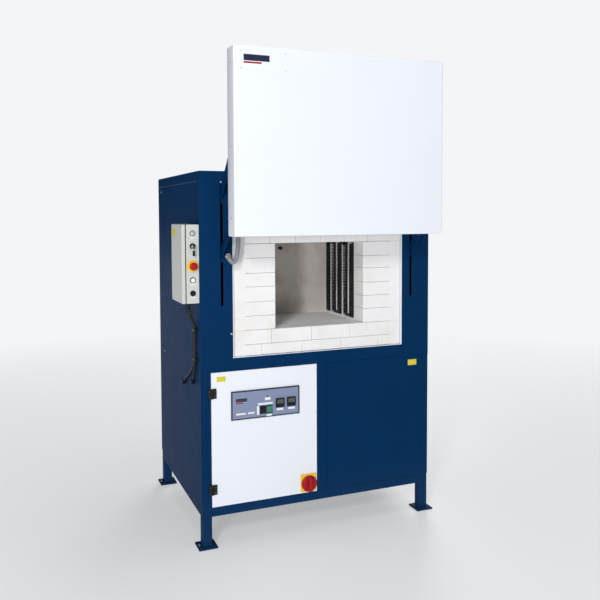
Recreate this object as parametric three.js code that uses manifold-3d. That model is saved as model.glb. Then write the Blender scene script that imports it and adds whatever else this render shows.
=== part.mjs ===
// A front-loading pottery kiln with a vertically rising door on parallel arms. Millimetres, +Z up.
// Cabinet axes: X = 0 on the centre line, Y = 0 on the front sheet and growing to the rear,
// Z = 0 on the floor.
// The door is drawn raised. The exported group is moved so that its origin is the bottom centre of its box.
import * as THREE from "three";
import { mergeVertices } from "three/addons/utils/BufferGeometryUtils.js";
import Module from "manifold-3d";

const wasm = await Module();
wasm.setup();

// ---- driving dimensions ----
const cabinetWidth = 1346;
const cabinetDepth = 1030;
const cabinetHeight = 1946;
const sheet = 2; // thickness of every folded sheet
const fit = 0.4; // gap left between pieces that touch
const postSize = 50; // square tube of posts and rails
const tubeWall = 3;
const footPlate = 100;
const footThickness = 10;
const railBottom = 160;
const frontSplit = 914; // height where the lower bays end and the front sheet starts
const roofLip = 52; // height of the turned-down edge of the roof
const mullionWidth = 61;
const mullionDepth = 40;

const mouthWidth = 1000; // brick face that the front sheet leaves open
const mouthBottom = 980;
const mouthTop = 1760;
const brickRecess = 15; // brick face behind the front sheet
const brickDepth = 107;
const chamberWidth = 520;
const chamberHeight = 454;
const hearthTop = 1118;
const wallThickness = 114;
const lining = 120; // thickness of the roof and the floor lining

const coilCount = 5;
const coilRadius = 33;
const coilStand = 12; // coil in front of the wall face
const coilSideGap = 3; // between a coil and the side of its groove
const grooveRib = 8; // wall left between two grooves
const grooveEnd = 9; // wall left in front of the first groove and behind the last
const grooveMargin = 9; // groove end above the hearth and below the roof
const coilClearance = 2.5;
const linkSize = 14; // tail that joins one coil to the next

const armReach = 383; // pivot to pivot
const armWidth = 44;
const armThickness = 8;
const armCentreX = 556;
const armAngle = 46.2; // degrees above horizontal while raised
const lowerPivotZ = 1494;
const pivotRise = 310; // upper pivot above lower pivot
const pivotY = 30;
const slotWidth = 14;
const slotBottom = 1258;
const slotTop = 1876;
const shaftRadius = 18;
const pinRadius = 12;
const doorPinRadius = 10;
const pinClearance = 0.6;
const openPivotClearance = 3; // the loop of the linkage is open at this pivot
const tailLength = 372; // lower arm behind its pivot
const weightDistance = 300;
const weightLength = 160;
const weightHeight = 136;
const weightThickness = 54;
const pivotPinReach = 14; // pivot pin past the outer face of an arm
const gearboxWidth = 120;
const gearboxBelow = 38; // housing below and above the shaft, and behind it
const gearboxAbove = 70;
const gearboxBehind = 80;
const motorRadius = 34;
const motorOffset = 42; // motor axis behind the shaft
const motorTopGap = 6; // between the motor and the roof

const doorWidth = 1150;
const doorHeight = 904;
const doorThickness = 105;
const doorPinDrop = 151.5; // lower door pin above the lower edge of the casing
const doorPinInset = 50; // door pins in front of the back edge of the casing
const doorPinReach = 6; // door pin past the outer face of an arm
const doorBracketPad = 25; // bracket plate around each door pin
const doorBracketGap = 5; // between a door bracket and the arms
const insulationWidth = 900;
const insulationHeight = 740;
const insulationRise = 31; // insulation above the lower edge of the casing
const insulationProud = 16; // insulation behind the back edge of the casing
const plugDepth = 38;
const plugSideGap = 9;
const plugTopGap = 6;
const plugTaper = 12;

const stationLength = 240;
const stationHeight = 400;
const stationDepth = 68;
const stationLidDepth = 21;
const stationFrontY = 5;
const stationBottom = 1275;
const keyZ = 1566;
const estopZ = 1465;
const raiseZ = 1394;
const lowerZ = 1327;
const deviceRadius = 11;
const deviceTravel = 4;
const buttonProud = 3; // button before the station's face when pressed
const mushroomRadius = 20;
const mushroomReach = 30; // front of the mushroom before the station's face
const mushroomDepth = 17;
const keyReach = 32;
const keyBladeDepth = 23;
const keyHeadHeight = 24;
const keyHeadThickness = 3;
const keyHoleRadius = 4;
const cableRadius = 6;
const conduitRadius = 13;

const bayGap = 0.8; // around the control door and the access panel
const controlDoorProud = 3; // control door in front of the front sheet
const controlDoorDepth = 18;
const fasciaWidth = 381;
const fasciaHeight = 152;
const fasciaLeft = 104; // from the left edge of the control door
const fasciaBottom = 655;
const fasciaThickness = 5.6;
const rockerWidth = 29;
const rockerHeight = 37;
const rockerThickness = 9;
const rockerTilt = 8;
const rockerGap = 1.5; // window past the ends of a rocker
const rockerOffsets = [173, 209]; // rocker axes from the left edge of the fascia
const rockerCentreZ = 696;
const knobRadius = 44;
const knobZ = 262;
const knobInset = 49; // knob axis from the right edge of the control door
const knobPlate = 5; // plate behind the knob
const knobThickness = 12;
const gripWidth = 22;
const gripReach = 32; // front of the grip before the plate
const gripEnd = 6; // disc left past each end of the grip
const hingeLength = 52;
const hingeRadius = 6;
const hingeLeafWidth = 16;
const hingeLeafStart = 4; // leaf edge from the hinge axis
const hingeAxisY = -10;
const hingeHeights = [304, 806];

const roundSegments = 24;
const smallSegments = 16;
const tubeSides = 8;
const degree = Math.PI / 180;

// ---- places worked out from them ----
const halfWidth = cabinetWidth / 2;
const postOuter = halfWidth - sheet - fit;
const postInner = postOuter - postSize;
const postFrontY = sheet + fit;
const postRearY = cabinetDepth - sheet - fit - postSize;
const railTop = railBottom + postSize;
const roofZ = cabinetHeight - sheet;
const panelBottom = railTop + fit;
const halfMouth = mouthWidth / 2;
const halfChamber = chamberWidth / 2;
const chamberTop = hearthTop + chamberHeight;
const ringBackY = brickRecess + brickDepth;
const grooveWidth = 2 * (coilRadius + coilSideGap);
const coilPitch = grooveWidth + grooveRib;
const chamberDepth = (coilCount - 1) * coilPitch + grooveWidth + 2 * grooveEnd;
const chamberBackY = ringBackY + chamberDepth;
const liningOuter = halfChamber + wallThickness;
const upperPivotZ = lowerPivotZ + pivotRise;
const doorPinY = pivotY - armReach * Math.cos(armAngle * degree);
const doorPinLift = armReach * Math.sin(armAngle * degree);
const doorBackY = doorPinY + doorPinInset;
const doorFrontY = doorBackY - doorThickness;
const doorBottom = lowerPivotZ + doorPinLift - doorPinDrop;
const doorTop = doorBottom + doorHeight;
const stationInner = halfWidth + fit;
const stationSplit = stationInner + stationDepth;
const stationX = -(stationInner + stationDepth / 2);
const bayInner = mullionWidth / 2 + bayGap;
const bayOuter = postInner - bayGap;
const controlDoorY = -controlDoorProud;
const hingeAxisX = -(bayOuter - controlDoorProud);

// ---- helpers ----
function toSolid(geometry) {
  const plain = geometry.clone();
  plain.deleteAttribute("normal");
  plain.deleteAttribute("uv");
  const merged = mergeVertices(plain, 1e-4);
  return new wasm.Manifold(
    new wasm.Mesh({
      numProp: 3,
      vertProperties: merged.attributes.position.array,
      triVerts: new Uint32Array(merged.index.array),
    }),
  );
}

function toGeometry(solid) {
  const mesh = solid.getMesh();
  const geometry = new THREE.BufferGeometry();
  geometry.setAttribute("position", new THREE.BufferAttribute(mesh.vertProperties, 3));
  geometry.setIndex(new THREE.BufferAttribute(mesh.triVerts, 1));
  const faceted = geometry.toNonIndexed();
  faceted.computeVertexNormals();
  return faceted;
}

// A box between two corners.
function box(x0, x1, y0, y1, z0, z1) {
  const geometry = new THREE.BoxGeometry(x1 - x0, y1 - y0, z1 - z0);
  geometry.translate((x0 + x1) / 2, (y0 + y1) / 2, (z0 + z1) / 2);
  return toSolid(geometry);
}

// A box given by its half width about X = 0, or by its mirrored side: side is -1 (left) or 1 (right).
function sideBox(side, inner, outer, y0, y1, z0, z1) {
  return side < 0 ? box(-outer, -inner, y0, y1, z0, z1) : box(inner, outer, y0, y1, z0, z1);
}

function cylinderX(radius, x0, x1, y, z, segments = roundSegments) {
  const geometry = new THREE.CylinderGeometry(radius, radius, x1 - x0, segments);
  geometry.rotateZ(Math.PI / 2);
  geometry.translate((x0 + x1) / 2, y, z);
  return toSolid(geometry);
}

function cylinderY(radius, y0, y1, x, z, segments = roundSegments) {
  const geometry = new THREE.CylinderGeometry(radius, radius, y1 - y0, segments);
  geometry.translate(x, (y0 + y1) / 2, z);
  return toSolid(geometry);
}

function cylinderZ(radius, z0, z1, x, y, segments = roundSegments) {
  const geometry = new THREE.CylinderGeometry(radius, radius, z1 - z0, segments);
  geometry.rotateX(Math.PI / 2);
  geometry.translate(x, y, (z0 + z1) / 2);
  return toSolid(geometry);
}

// An outline of [y, z] points extruded along X.
function prismX(outline, x0, x1) {
  const shape = new THREE.Shape(outline.map(([y, z]) => new THREE.Vector2(y, z)));
  const geometry = new THREE.ExtrudeGeometry(shape, { depth: x1 - x0, bevelEnabled: false });
  const axes = new THREE.Matrix4().makeBasis(
    new THREE.Vector3(0, 1, 0),
    new THREE.Vector3(0, 0, 1),
    new THREE.Vector3(1, 0, 0),
  );
  geometry.applyMatrix4(axes);
  geometry.translate(x0, 0, 0);
  return toSolid(geometry);
}

// A flat bar with round ends between two points of the YZ plane.
function roundBar(from, to, width, x0, x1) {
  const along = Math.atan2(to[1] - from[1], to[0] - from[0]);
  const outline = [];
  for (const [end, start] of [[to, along - Math.PI / 2], [from, along + Math.PI / 2]]) {
    for (let i = 0; i <= smallSegments / 2; i++) {
      const turn = start + (i * Math.PI) / (smallSegments / 2);
      outline.push([end[0] + (width / 2) * Math.cos(turn), end[1] + (width / 2) * Math.sin(turn)]);
    }
  }
  return prismX(outline, x0, x1);
}

// A round tube along a smooth curve through points.
function tube(points, radius, steps) {
  const curve = new THREE.CatmullRomCurve3(points.map((p) => new THREE.Vector3(...p)), false, "centripetal");
  const section = new THREE.Shape();
  section.absarc(0, 0, radius, 0, 2 * Math.PI, false);
  return toSolid(new THREE.ExtrudeGeometry(section, {
    steps,
    bevelEnabled: false,
    extrudePath: curve,
    curveSegments: tubeSides / 2,
  }));
}

const group = new THREE.Group();

function addPart(name, solid, finish) {
  const mesh = new THREE.Mesh(toGeometry(solid), new THREE.MeshStandardMaterial(finish));
  mesh.name = name;
  group.add(mesh);
}

const bluePaint = { color: 0x12305a, roughness: 0.45, metalness: 0.1 };
const whitePaint = { color: 0xe8ecf2, roughness: 0.4, metalness: 0.05 };
const greyPaint = { color: 0xcdd0c8, roughness: 0.5, metalness: 0.05 };
const brick = { color: 0xebe7e0, roughness: 0.95, metalness: 0 };
const fibre = { color: 0xd8d4cc, roughness: 1, metalness: 0 };
const coilWire = { color: 0x4a4642, roughness: 0.7, metalness: 0.5 };
const blackPlastic = { color: 0x18191b, roughness: 0.5, metalness: 0 };
const redPlastic = { color: 0xb01424, roughness: 0.35, metalness: 0 };
const greenPlastic = { color: 0x28a070, roughness: 0.35, metalness: 0 };
const whitePlastic = { color: 0xeeeeee, roughness: 0.4, metalness: 0 };
const fasciaPrint = { color: 0x7d8aa5, roughness: 0.45, metalness: 0 };
const steel = { color: 0x8d9196, roughness: 0.4, metalness: 0.9 };
const castIron = { color: 0x30343a, roughness: 0.7, metalness: 0.6 };
const greyHose = { color: 0x85888c, roughness: 0.6, metalness: 0.2 };

const sides = [[-1, "left"], [1, "right"]];

// ---- frame ----
function addLegs() {
  for (const [side, sideName] of sides) {
    for (const [y0, endName] of [[postFrontY, "front"], [postRearY, "rear"]]) {
      const y1 = y0 + postSize;
      const centreX = side * (postInner + postSize / 2);
      const centreY = y0 + postSize / 2;
      const post = sideBox(side, postInner, postOuter, y0, y1, 0, roofZ - fit);
      const bore = sideBox(side, postInner + tubeWall, postOuter - tubeWall,
        y0 + tubeWall, y1 - tubeWall, footThickness, roofZ);
      const foot = box(centreX - footPlate / 2, centreX + footPlate / 2,
        centreY - footPlate / 2, centreY + footPlate / 2, 0, footThickness);
      addPart(`leg_${endName}_${sideName}`, post.add(foot).subtract(bore), bluePaint);
    }
  }
}

function addRails() {
  const inner = postInner - fit;
  for (const [y0, name] of [[postFrontY, "front"], [postRearY, "rear"]]) {
    const y1 = y0 + postSize;
    const rail = box(-inner, inner, y0, y1, railBottom, railTop);
    const bore = box(-halfWidth, halfWidth, y0 + tubeWall, y1 - tubeWall,
      railBottom + tubeWall, railTop - tubeWall);
    addPart(`bottom_rail_${name}`, rail.subtract(bore), bluePaint);
  }
  for (const [side, name] of sides) {
    const rail = sideBox(side, postInner, postOuter,
      postFrontY + postSize + fit, postRearY - fit, railBottom, railTop);
    const bore = sideBox(side, postInner + tubeWall, postOuter - tubeWall,
      0, cabinetDepth, railBottom + tubeWall, railTop - tubeWall);
    addPart(`bottom_rail_${name}`, rail.subtract(bore), bluePaint);
  }
}

// The deck carries the brickwork between the four posts.
const deckThickness = 6;
const deckTop = mouthBottom - fit;
function addInnerFrame() {
  const inner = postInner - fit;
  addPart("chamber_deck",
    box(-inner, inner, postFrontY, cabinetDepth - sheet - fit, deckTop - deckThickness, deckTop), bluePaint);
  addPart("front_mullion",
    box(-mullionWidth / 2, mullionWidth / 2, postFrontY, postFrontY + mullionDepth,
      panelBottom, deckTop - deckThickness - fit), bluePaint);
}

// ---- outer sheets ----
function addFrontSheets() {
  const top = roofZ - fit;
  for (const [side, name] of sides) {
    const slot = sideBox(side, armCentreX - slotWidth / 2, armCentreX + slotWidth / 2,
      -1, sheet + 1, slotBottom, slotTop);
    addPart(`front_stile_${name}`,
      sideBox(side, halfMouth + fit, halfWidth, 0, sheet, frontSplit, top).subtract(slot), bluePaint);
  }
  addPart("front_header", box(-halfMouth, halfMouth, 0, sheet, mouthTop, top), bluePaint);
  addPart("front_sill", box(-halfMouth, halfMouth, 0, sheet, frontSplit, mouthBottom), bluePaint);
}

function addSideAndRear() {
  for (const [side, name] of sides) {
    addPart(`side_panel_${name}`,
      sideBox(side, halfWidth - sheet, halfWidth, sheet + fit, cabinetDepth,
        panelBottom, cabinetHeight - roofLip - fit), bluePaint);
  }
  addPart("rear_panel",
    box(-postOuter, postOuter, cabinetDepth - sheet, cabinetDepth, panelBottom, roofZ - fit), bluePaint);
  const lid = box(-halfWidth, halfWidth, 0, cabinetDepth, cabinetHeight - roofLip, cabinetHeight);
  const inside = box(-halfWidth + sheet, halfWidth - sheet, -1, cabinetDepth + 1,
    cabinetHeight - roofLip - 1, roofZ);
  const lipNotch = box(-halfWidth - 1, halfWidth + 1, -1, sheet + fit, 0, roofZ);
  addPart("roof_panel", lid.subtract(inside).subtract(lipNotch), bluePaint);
}

function addAccessPanel() {
  const depth = controlDoorDepth - controlDoorProud;
  const pan = box(bayInner, bayOuter, 0, depth, panelBottom + bayGap, frontSplit - bayGap);
  const hollow = box(bayInner + sheet, bayOuter - sheet, sheet, depth + 1,
    panelBottom + bayGap + sheet, frontSplit - bayGap - sheet);
  addPart("access_panel", pan.subtract(hollow), bluePaint);
}

// ---- brickwork and chamber ----
function addBrickwork() {
  const front = brickRecess;
  const back = ringBackY;
  for (const [side, name] of sides) {
    addPart(`brick_jamb_${name}`,
      sideBox(side, halfChamber, halfMouth, front, back, hearthTop + fit, chamberTop - fit), brick);
  }
  addPart("brick_lintel", box(-halfMouth, halfMouth, front, back, chamberTop, mouthTop), brick);
  addPart("brick_sill", box(-halfMouth, halfMouth, front, back, mouthBottom, hearthTop), brick);
}

function addChamber() {
  const front = ringBackY + fit;
  const back = chamberBackY - fit;
  addPart("hearth", box(-halfChamber + fit, halfChamber - fit, front, back, mouthBottom, hearthTop), brick);
  addPart("chamber_roof", box(-liningOuter, liningOuter, front, back,
    chamberTop, chamberTop + lining), fibre);
  const rear = box(-liningOuter, liningOuter, chamberBackY, chamberBackY + wallThickness,
    mouthBottom, chamberTop + lining);
  addPart("chamber_back", rear.subtract(thermocoupleHole()), fibre);
}

const sheathRadius = 9;
const sheathReach = 24; // tip inside the chamber
const sheathX = -41;
const sheathZ = chamberTop - 53;
function thermocoupleHole() {
  return cylinderY(sheathRadius + fit, chamberBackY - 1, chamberBackY + wallThickness + 1,
    sheathX, sheathZ, smallSegments);
}

function addThermocouple() {
  const headY = chamberBackY + wallThickness + fit;
  const sheath = cylinderY(sheathRadius, chamberBackY - sheathReach, headY + 10,
    sheathX, sheathZ, smallSegments);
  const head = box(sheathX - 32, sheathX + 32, headY, headY + 46, sheathZ - 32, sheathZ + 32);
  addPart("thermocouple", sheath.add(head), steel);
}

function coilY(i) {
  const middle = (ringBackY + chamberBackY) / 2;
  return middle + (i - (coilCount - 1) / 2) * coilPitch;
}

// Both side walls hold a row of upright coils in open grooves. The coils are joined at alternate ends.
function addHeatedWalls() {
  const grooveBottom = hearthTop + grooveMargin;
  const grooveTop = chamberTop - grooveMargin;
  const centreX = halfChamber + coilRadius - coilStand;
  const grooveDepth = 2 * coilRadius - coilStand + coilClearance;
  for (const [side, name] of sides) {
    let wall = sideBox(side, halfChamber, liningOuter, ringBackY + fit, chamberBackY - fit,
      mouthBottom, chamberTop - fit);
    let coils = null;
    for (let i = 0; i < coilCount; i++) {
      const y = coilY(i);
      wall = wall.subtract(sideBox(side, halfChamber - 1, halfChamber + grooveDepth,
        y - grooveWidth / 2, y + grooveWidth / 2, grooveBottom, grooveTop));
      const x = side * centreX;
      const column = cylinderZ(coilRadius, grooveBottom + coilClearance, grooveTop - coilClearance,
        x, y, smallSegments);
      coils = coils ? coils.add(column) : column;
      if (i === coilCount - 1) continue;
      const low = i % 2 === 0;
      const z0 = low ? grooveBottom + coilClearance : grooveTop - coilClearance - linkSize;
      const passage = sideBox(side, halfChamber - 1, centreX + linkSize / 2 + coilClearance,
        y, y + coilPitch, z0 - coilClearance, z0 + linkSize + coilClearance);
      wall = wall.subtract(passage);
      coils = coils.add(sideBox(side, centreX - linkSize / 2, centreX + linkSize / 2,
        y, y + coilPitch, z0, z0 + linkSize));
    }
    addPart(`chamber_wall_${name}`, wall, fibre);
    addPart(`element_${name}`, coils, coilWire);
  }
}

// ---- door lift ----
const armInner = armCentreX - armThickness / 2;
const armOuter = armCentreX + armThickness / 2;
const bracketThickness = 6;
const bracketInner = armInner - 22;
const bracketPad = 50; // bracket plate around each pivot

function armEnd(pivotZ, distance, angle) {
  return [pivotY - distance * Math.cos(angle * degree), pivotZ + distance * Math.sin(angle * degree)];
}

function addArms() {
  for (const [side, name] of sides) {
    const x0 = side < 0 ? -armOuter : armInner;
    const x1 = x0 + armThickness;
    const upperFar = armEnd(upperPivotZ, armReach, armAngle);
    const upper = roundBar([pivotY, upperPivotZ], upperFar, armWidth, x0, x1);
    const upperHole = cylinderX(doorPinRadius + pinClearance, x0 - 1, x1 + 1, ...upperFar, smallSegments);
    addPart(`upper_arm_${name}`, upper.subtract(upperHole), bluePaint);

    const lowerFar = armEnd(lowerPivotZ, armReach, armAngle);
    const tail = armEnd(lowerPivotZ, -tailLength, armAngle);
    const lower = roundBar(tail, lowerFar, armWidth, x0, x1);
    const pivotHole = cylinderX(pinRadius + pinClearance, x0 - 1, x1 + 1,
      pivotY, lowerPivotZ, smallSegments);
    const openHole = cylinderX(doorPinRadius + openPivotClearance, x0 - 1, x1 + 1,
      ...lowerFar, smallSegments);
    addPart(`lower_arm_${name}`, lower.subtract(pivotHole).subtract(openHole), bluePaint);

    const near = armEnd(lowerPivotZ, -(weightDistance - weightLength / 2), armAngle);
    const far = armEnd(lowerPivotZ, -(weightDistance + weightLength / 2), armAngle);
    const outward = [Math.sin(armAngle * degree), Math.cos(armAngle * degree)];
    const corner = (point, half) => [point[0] + half * outward[0], point[1] + half * outward[1]];
    const block = [corner(near, weightHeight / 2), corner(near, -weightHeight / 2),
      corner(far, -weightHeight / 2), corner(far, weightHeight / 2)];
    const w0 = side < 0 ? -(armOuter + fit + weightThickness) : armOuter + fit;
    addPart(`counterweight_${name}`, prismX(block, w0, w0 + weightThickness), castIron);
  }
}

function addPivots() {
  const reach = armInner - fit;
  addPart("torque_shaft", cylinderX(shaftRadius, -reach, reach, pivotY, upperPivotZ), steel);
  for (const [side, name] of sides) {
    const x0 = side < 0 ? -(bracketInner + bracketThickness) : bracketInner;
    const x1 = x0 + bracketThickness;
    const plate = box(x0, x1, postFrontY, pivotY + bracketPad,
      lowerPivotZ - bracketPad, upperPivotZ + bracketPad);
    const bearingHole = cylinderX(shaftRadius + pinClearance, x0 - 1, x1 + 1, pivotY, upperPivotZ);
    const pinTip = armOuter + pivotPinReach;
    const pin = side < 0
      ? cylinderX(pinRadius, -pinTip, x1, pivotY, lowerPivotZ)
      : cylinderX(pinRadius, x0, pinTip, pivotY, lowerPivotZ);
    addPart(`pivot_bracket_${name}`, plate.subtract(bearingHole).add(pin), bluePaint);
  }
}

// A worm gearbox turns the torque shaft and holds it where it stops.
function addGearbox() {
  const half = gearboxWidth / 2;
  const body = box(-half, half, postFrontY, pivotY + gearboxBehind,
    upperPivotZ - gearboxBelow, upperPivotZ + gearboxAbove);
  const motor = cylinderZ(motorRadius, upperPivotZ + gearboxAbove - 1, roofZ - fit - motorTopGap,
    0, pivotY + motorOffset);
  const bore = cylinderX(shaftRadius + pinClearance, -half - 1, half + 1, pivotY, upperPivotZ);
  addPart("lift_gearbox", body.add(motor).subtract(bore), castIron);
}

// ---- rising door ----
function addDoor() {
  const half = doorWidth / 2;
  const shell = box(-half, half, doorFrontY, doorBackY, doorBottom, doorTop);
  const hollow = box(-half + sheet, half - sheet, doorFrontY + sheet, doorBackY + 1,
    doorBottom + sheet, doorTop - sheet);
  let casing = shell.subtract(hollow);
  const pinZ = doorBottom + doorPinDrop;
  for (const [side] of sides) {
    const plateOuter = armInner - doorBracketGap;
    casing = casing.add(sideBox(side, plateOuter - bracketThickness, plateOuter, doorFrontY + 1,
      doorPinY + doorBracketPad, pinZ - doorBracketPad, pinZ + pivotRise + doorBracketPad));
    for (const z of [pinZ, pinZ + pivotRise]) {
      const tip = armOuter + doorPinReach;
      casing = casing.add(side < 0
        ? cylinderX(doorPinRadius, -tip, -(plateOuter - 1), doorPinY, z, smallSegments)
        : cylinderX(doorPinRadius, plateOuter - 1, tip, doorPinY, z, smallSegments));
    }
  }
  addPart("door_casing", casing, whitePaint);

  const slabBottom = doorBottom + insulationRise;
  const slabBack = doorBackY + insulationProud;
  addPart("door_insulation", box(-insulationWidth / 2, insulationWidth / 2,
    doorFrontY + sheet + fit, slabBack, slabBottom, slabBottom + insulationHeight), fibre);
  addPlug(slabBack + fit);
}

// The plug tapers because the door rises a little as it leaves the mouth.
function addPlug(backY) {
  const lift = doorPinLift + armReach * Math.sin(closedAngle() * degree);
  const bottom = hearthTop + lift + plugTopGap;
  const top = chamberTop + lift - plugTopGap;
  const half = halfChamber - plugSideGap;
  const base = rectangle(half, bottom, top, backY);
  const tip = rectangle(half - plugTaper / 2, bottom, top - plugTaper, backY + plugDepth);
  const corners = new Float32Array([...base, ...tip].flat());
  const geometry = new THREE.BufferGeometry();
  geometry.setAttribute("position", new THREE.BufferAttribute(corners, 3));
  geometry.setIndex([
    0, 1, 2, 0, 2, 3, 4, 6, 5, 4, 7, 6,
    0, 4, 5, 0, 5, 1, 1, 5, 6, 1, 6, 2,
    2, 6, 7, 2, 7, 3, 3, 7, 4, 3, 4, 0,
  ]);
  addPart("door_plug", toSolid(geometry), fibre);
}

// Four corners of a rectangle at y, seen from the front and going round.
function rectangle(half, bottom, top, y) {
  return [[-half, y, bottom], [half, y, bottom], [half, y, top], [-half, y, top]];
}

// The closed door stands this far in front of the front sheet, which sets how far the arms swing down.
const closedGap = 6;
function closedAngle() {
  const closedPinY = -closedGap - doorPinInset;
  return Math.acos((pivotY - closedPinY) / armReach) / degree;
}

// ---- control station on the left side ----
function addStation() {
  const y0 = stationFrontY;
  const y1 = stationFrontY + stationLength;
  const z1 = stationBottom + stationHeight;
  let base = box(-stationSplit, -stationInner, y0, y1, stationBottom, z1);
  base = base.subtract(box(-stationSplit - 1, -stationInner - sheet, y0 + sheet, y1 - sheet,
    stationBottom + sheet, z1 - sheet));
  for (const z of [keyZ, estopZ, raiseZ, lowerZ]) {
    base = base.subtract(cylinderY(deviceRadius + fit, y0 - 1, y0 + sheet + 1, stationX, z));
  }
  addPart("station_base", base, greyPaint);

  const lidInner = stationSplit + fit;
  const lidOuter = lidInner + stationLidDepth;
  const lid = box(-lidOuter, -lidInner, y0, y1, stationBottom, z1);
  addPart("station_lid", lid.subtract(box(-lidOuter + sheet, -lidInner + 1, y0 + sheet, y1 - sheet,
    stationBottom + sheet, z1 - sheet)), greyPaint);
}

function addStationDevices() {
  const face = stationFrontY;
  const stem = 30; // body of a device behind the station wall
  const keyHeadBack = face - keyReach + keyBladeDepth;
  const halfThickness = keyHeadThickness / 2;
  const barrel = cylinderY(deviceRadius - 2, keyHeadBack - 1, face + stem, stationX, keyZ);
  const blade = box(stationX - halfThickness, stationX + halfThickness, face - keyReach, keyHeadBack,
    keyZ - keyHeadHeight / 2, keyZ + keyHeadHeight / 2);
  const ringHole = cylinderX(keyHoleRadius, stationX - keyHeadThickness, stationX + keyHeadThickness,
    face - keyReach + 2 * keyHoleRadius, keyZ, smallSegments);
  addPart("station_key", barrel.add(blade).subtract(ringHole), steel);

  const mushroomBack = face - mushroomReach + mushroomDepth;
  const neck = cylinderY(deviceRadius - 1, mushroomBack - 1, face + stem, stationX, estopZ);
  const mushroom = cylinderY(mushroomRadius, face - mushroomReach, mushroomBack, stationX, estopZ);
  addPart("estop_button", neck.add(mushroom), redPlastic);

  const buttons = [["raise_button", raiseZ, whitePlastic], ["lower_button", lowerZ, blackPlastic]];
  for (const [name, z, finish] of buttons) {
    const front = face - deviceTravel - buttonProud;
    addPart(name, cylinderY(deviceRadius, front, face + stem, stationX, z), finish);
  }
}

// Two cables leave the bottom of the station, run down the side sheet and go in at two elbow glands.
function addCables() {
  const bottom = stationBottom - fit;
  const standOff = 3;
  const x = -(halfWidth + standOff + cableRadius);
  const clipHigh = 1130;
  const clipLow = 975;
  const rear = [
    [stationX, 140, bottom], [stationX, 138, bottom - 35], [stationX + 10, 122, bottom - 85],
    [x, 100, clipHigh + 12], [x, 95, clipHigh - 50], [x, 95, clipLow + 20], [x, 112, clipLow - 35],
    [x, 200, clipLow - 95], [x, 300, 832], [x, 352, 802],
  ];
  const front = [
    [stationX, 100, bottom], [stationX, 100, bottom - 35], [stationX + 10, 94, bottom - 85],
    [x, 80, clipHigh + 12], [x, 78, clipHigh - 50], [x, 78, clipLow + 20], [x, 84, clipLow - 35],
    [x, 118, 876], [x, 145, 847],
  ];
  addPart("cable_rear", tube(rear, cableRadius, 40), blackPlastic);
  addPart("cable_front", tube(front, cableRadius, 32), blackPlastic);
}

// A flexible conduit loops from a gland beside the left slot up to the header, clear of the closed door.
function addConduit() {
  const glandX = -528;
  const headerX = -483;
  const loopY = -46;
  const glandGap = 2.5;
  const top = mouthTop + 44;
  const route = [
    [glandX, -glandGap, 1512], [glandX, -22, 1510], [glandX + 2, loopY + 2, 1494], [glandX + 16, loopY, 1483],
    [glandX + 33, loopY, 1500], [headerX - 4, loopY, 1545], [headerX, loopY, 1600], [headerX, loopY, 1690],
    [headerX, loopY + 2, top - 42], [headerX, -22, top - 2], [headerX, -glandGap, top],
  ];
  addPart("conduit", tube(route, conduitRadius - 3, 56), greyHose);
}

// ---- control door ----
function addControlDoor() {
  const back = controlDoorY + controlDoorDepth;
  const bottom = panelBottom + bayGap;
  const top = frontSplit - bayGap;
  const pan = box(-bayOuter, -bayInner, controlDoorY, back, bottom, top);
  const hollow = box(-bayOuter + sheet, -bayInner - sheet, controlDoorY + sheet, back + 1,
    bottom + sheet, top - sheet);
  const fasciaX0 = -bayOuter + fasciaLeft;
  const fasciaFront = controlDoorY - fit - fasciaThickness;
  let door = pan.subtract(hollow);
  let fascia = box(fasciaX0, fasciaX0 + fasciaWidth, fasciaFront, controlDoorY - fit,
    fasciaBottom, fasciaBottom + fasciaHeight);
  const rockers = [["rocker_left", blackPlastic], ["rocker_right", greenPlastic]];
  for (const [i, [name, finish]] of rockers.entries()) {
    const x = fasciaX0 + rockerOffsets[i];
    const half = rockerWidth / 2;
    const window = box(x - half - fit, x + half + fit, fasciaFront - 1, controlDoorY + sheet + 1,
      rockerCentreZ - rockerHeight / 2 - rockerGap, rockerCentreZ + rockerHeight / 2 + rockerGap);
    door = door.subtract(window);
    fascia = fascia.subtract(window);
    addPart(name, rocker(x - half, x + half, fasciaFront), finish);
  }
  addPart("control_door_panel", door, whitePaint);
  addPart("control_fascia", fascia, fasciaPrint);
}

// A rocker cap with a shallow V front, drawn with its lower half pressed in.
function rocker(x0, x1, faceY) {
  const half = rockerHeight / 2;
  const tilt = rockerTilt * degree;
  const outline = [
    [-1, 0], [-4, -half + 1], [rockerThickness - 4, -half + 1], [rockerThickness - 2, 0],
    [rockerThickness - 4, half - 1], [-4, half - 1],
  ].map(([y, z]) => [
    faceY + 1 + y * Math.cos(tilt) - z * Math.sin(tilt),
    rockerCentreZ + y * Math.sin(tilt) + z * Math.cos(tilt),
  ]);
  return prismX(outline, x0, x1);
}

function addIsolator() {
  const x = -bayInner - knobInset;
  const plateFront = controlDoorY - fit - knobPlate;
  const discFront = plateFront - knobThickness;
  const halfGrip = knobRadius - gripEnd;
  const disc = cylinderY(knobRadius, discFront, plateFront - fit, x, knobZ, roundSegments);
  const grip = box(x - gripWidth / 2, x + gripWidth / 2, plateFront - gripReach, discFront + 1,
    knobZ - halfGrip, knobZ + halfGrip);
  addPart("isolator_knob", disc.add(grip), redPlastic);
}

function addHinges() {
  hingeHeights.forEach((centre, i) => {
    const z0 = centre - hingeLength / 2;
    const z1 = centre + hingeLength / 2;
    const leafEdge = hingeAxisX - hingeLeafStart;
    const leaf = box(leafEdge - hingeLeafWidth, leafEdge, hingeAxisY + 2, postFrontY - fit, z0, z1);
    const barrel = cylinderZ(hingeRadius, z0, z1, hingeAxisX, hingeAxisY, smallSegments);
    addPart(i ? "hinge_upper" : "hinge_lower", leaf.add(barrel), blackPlastic);
  });
}

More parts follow.
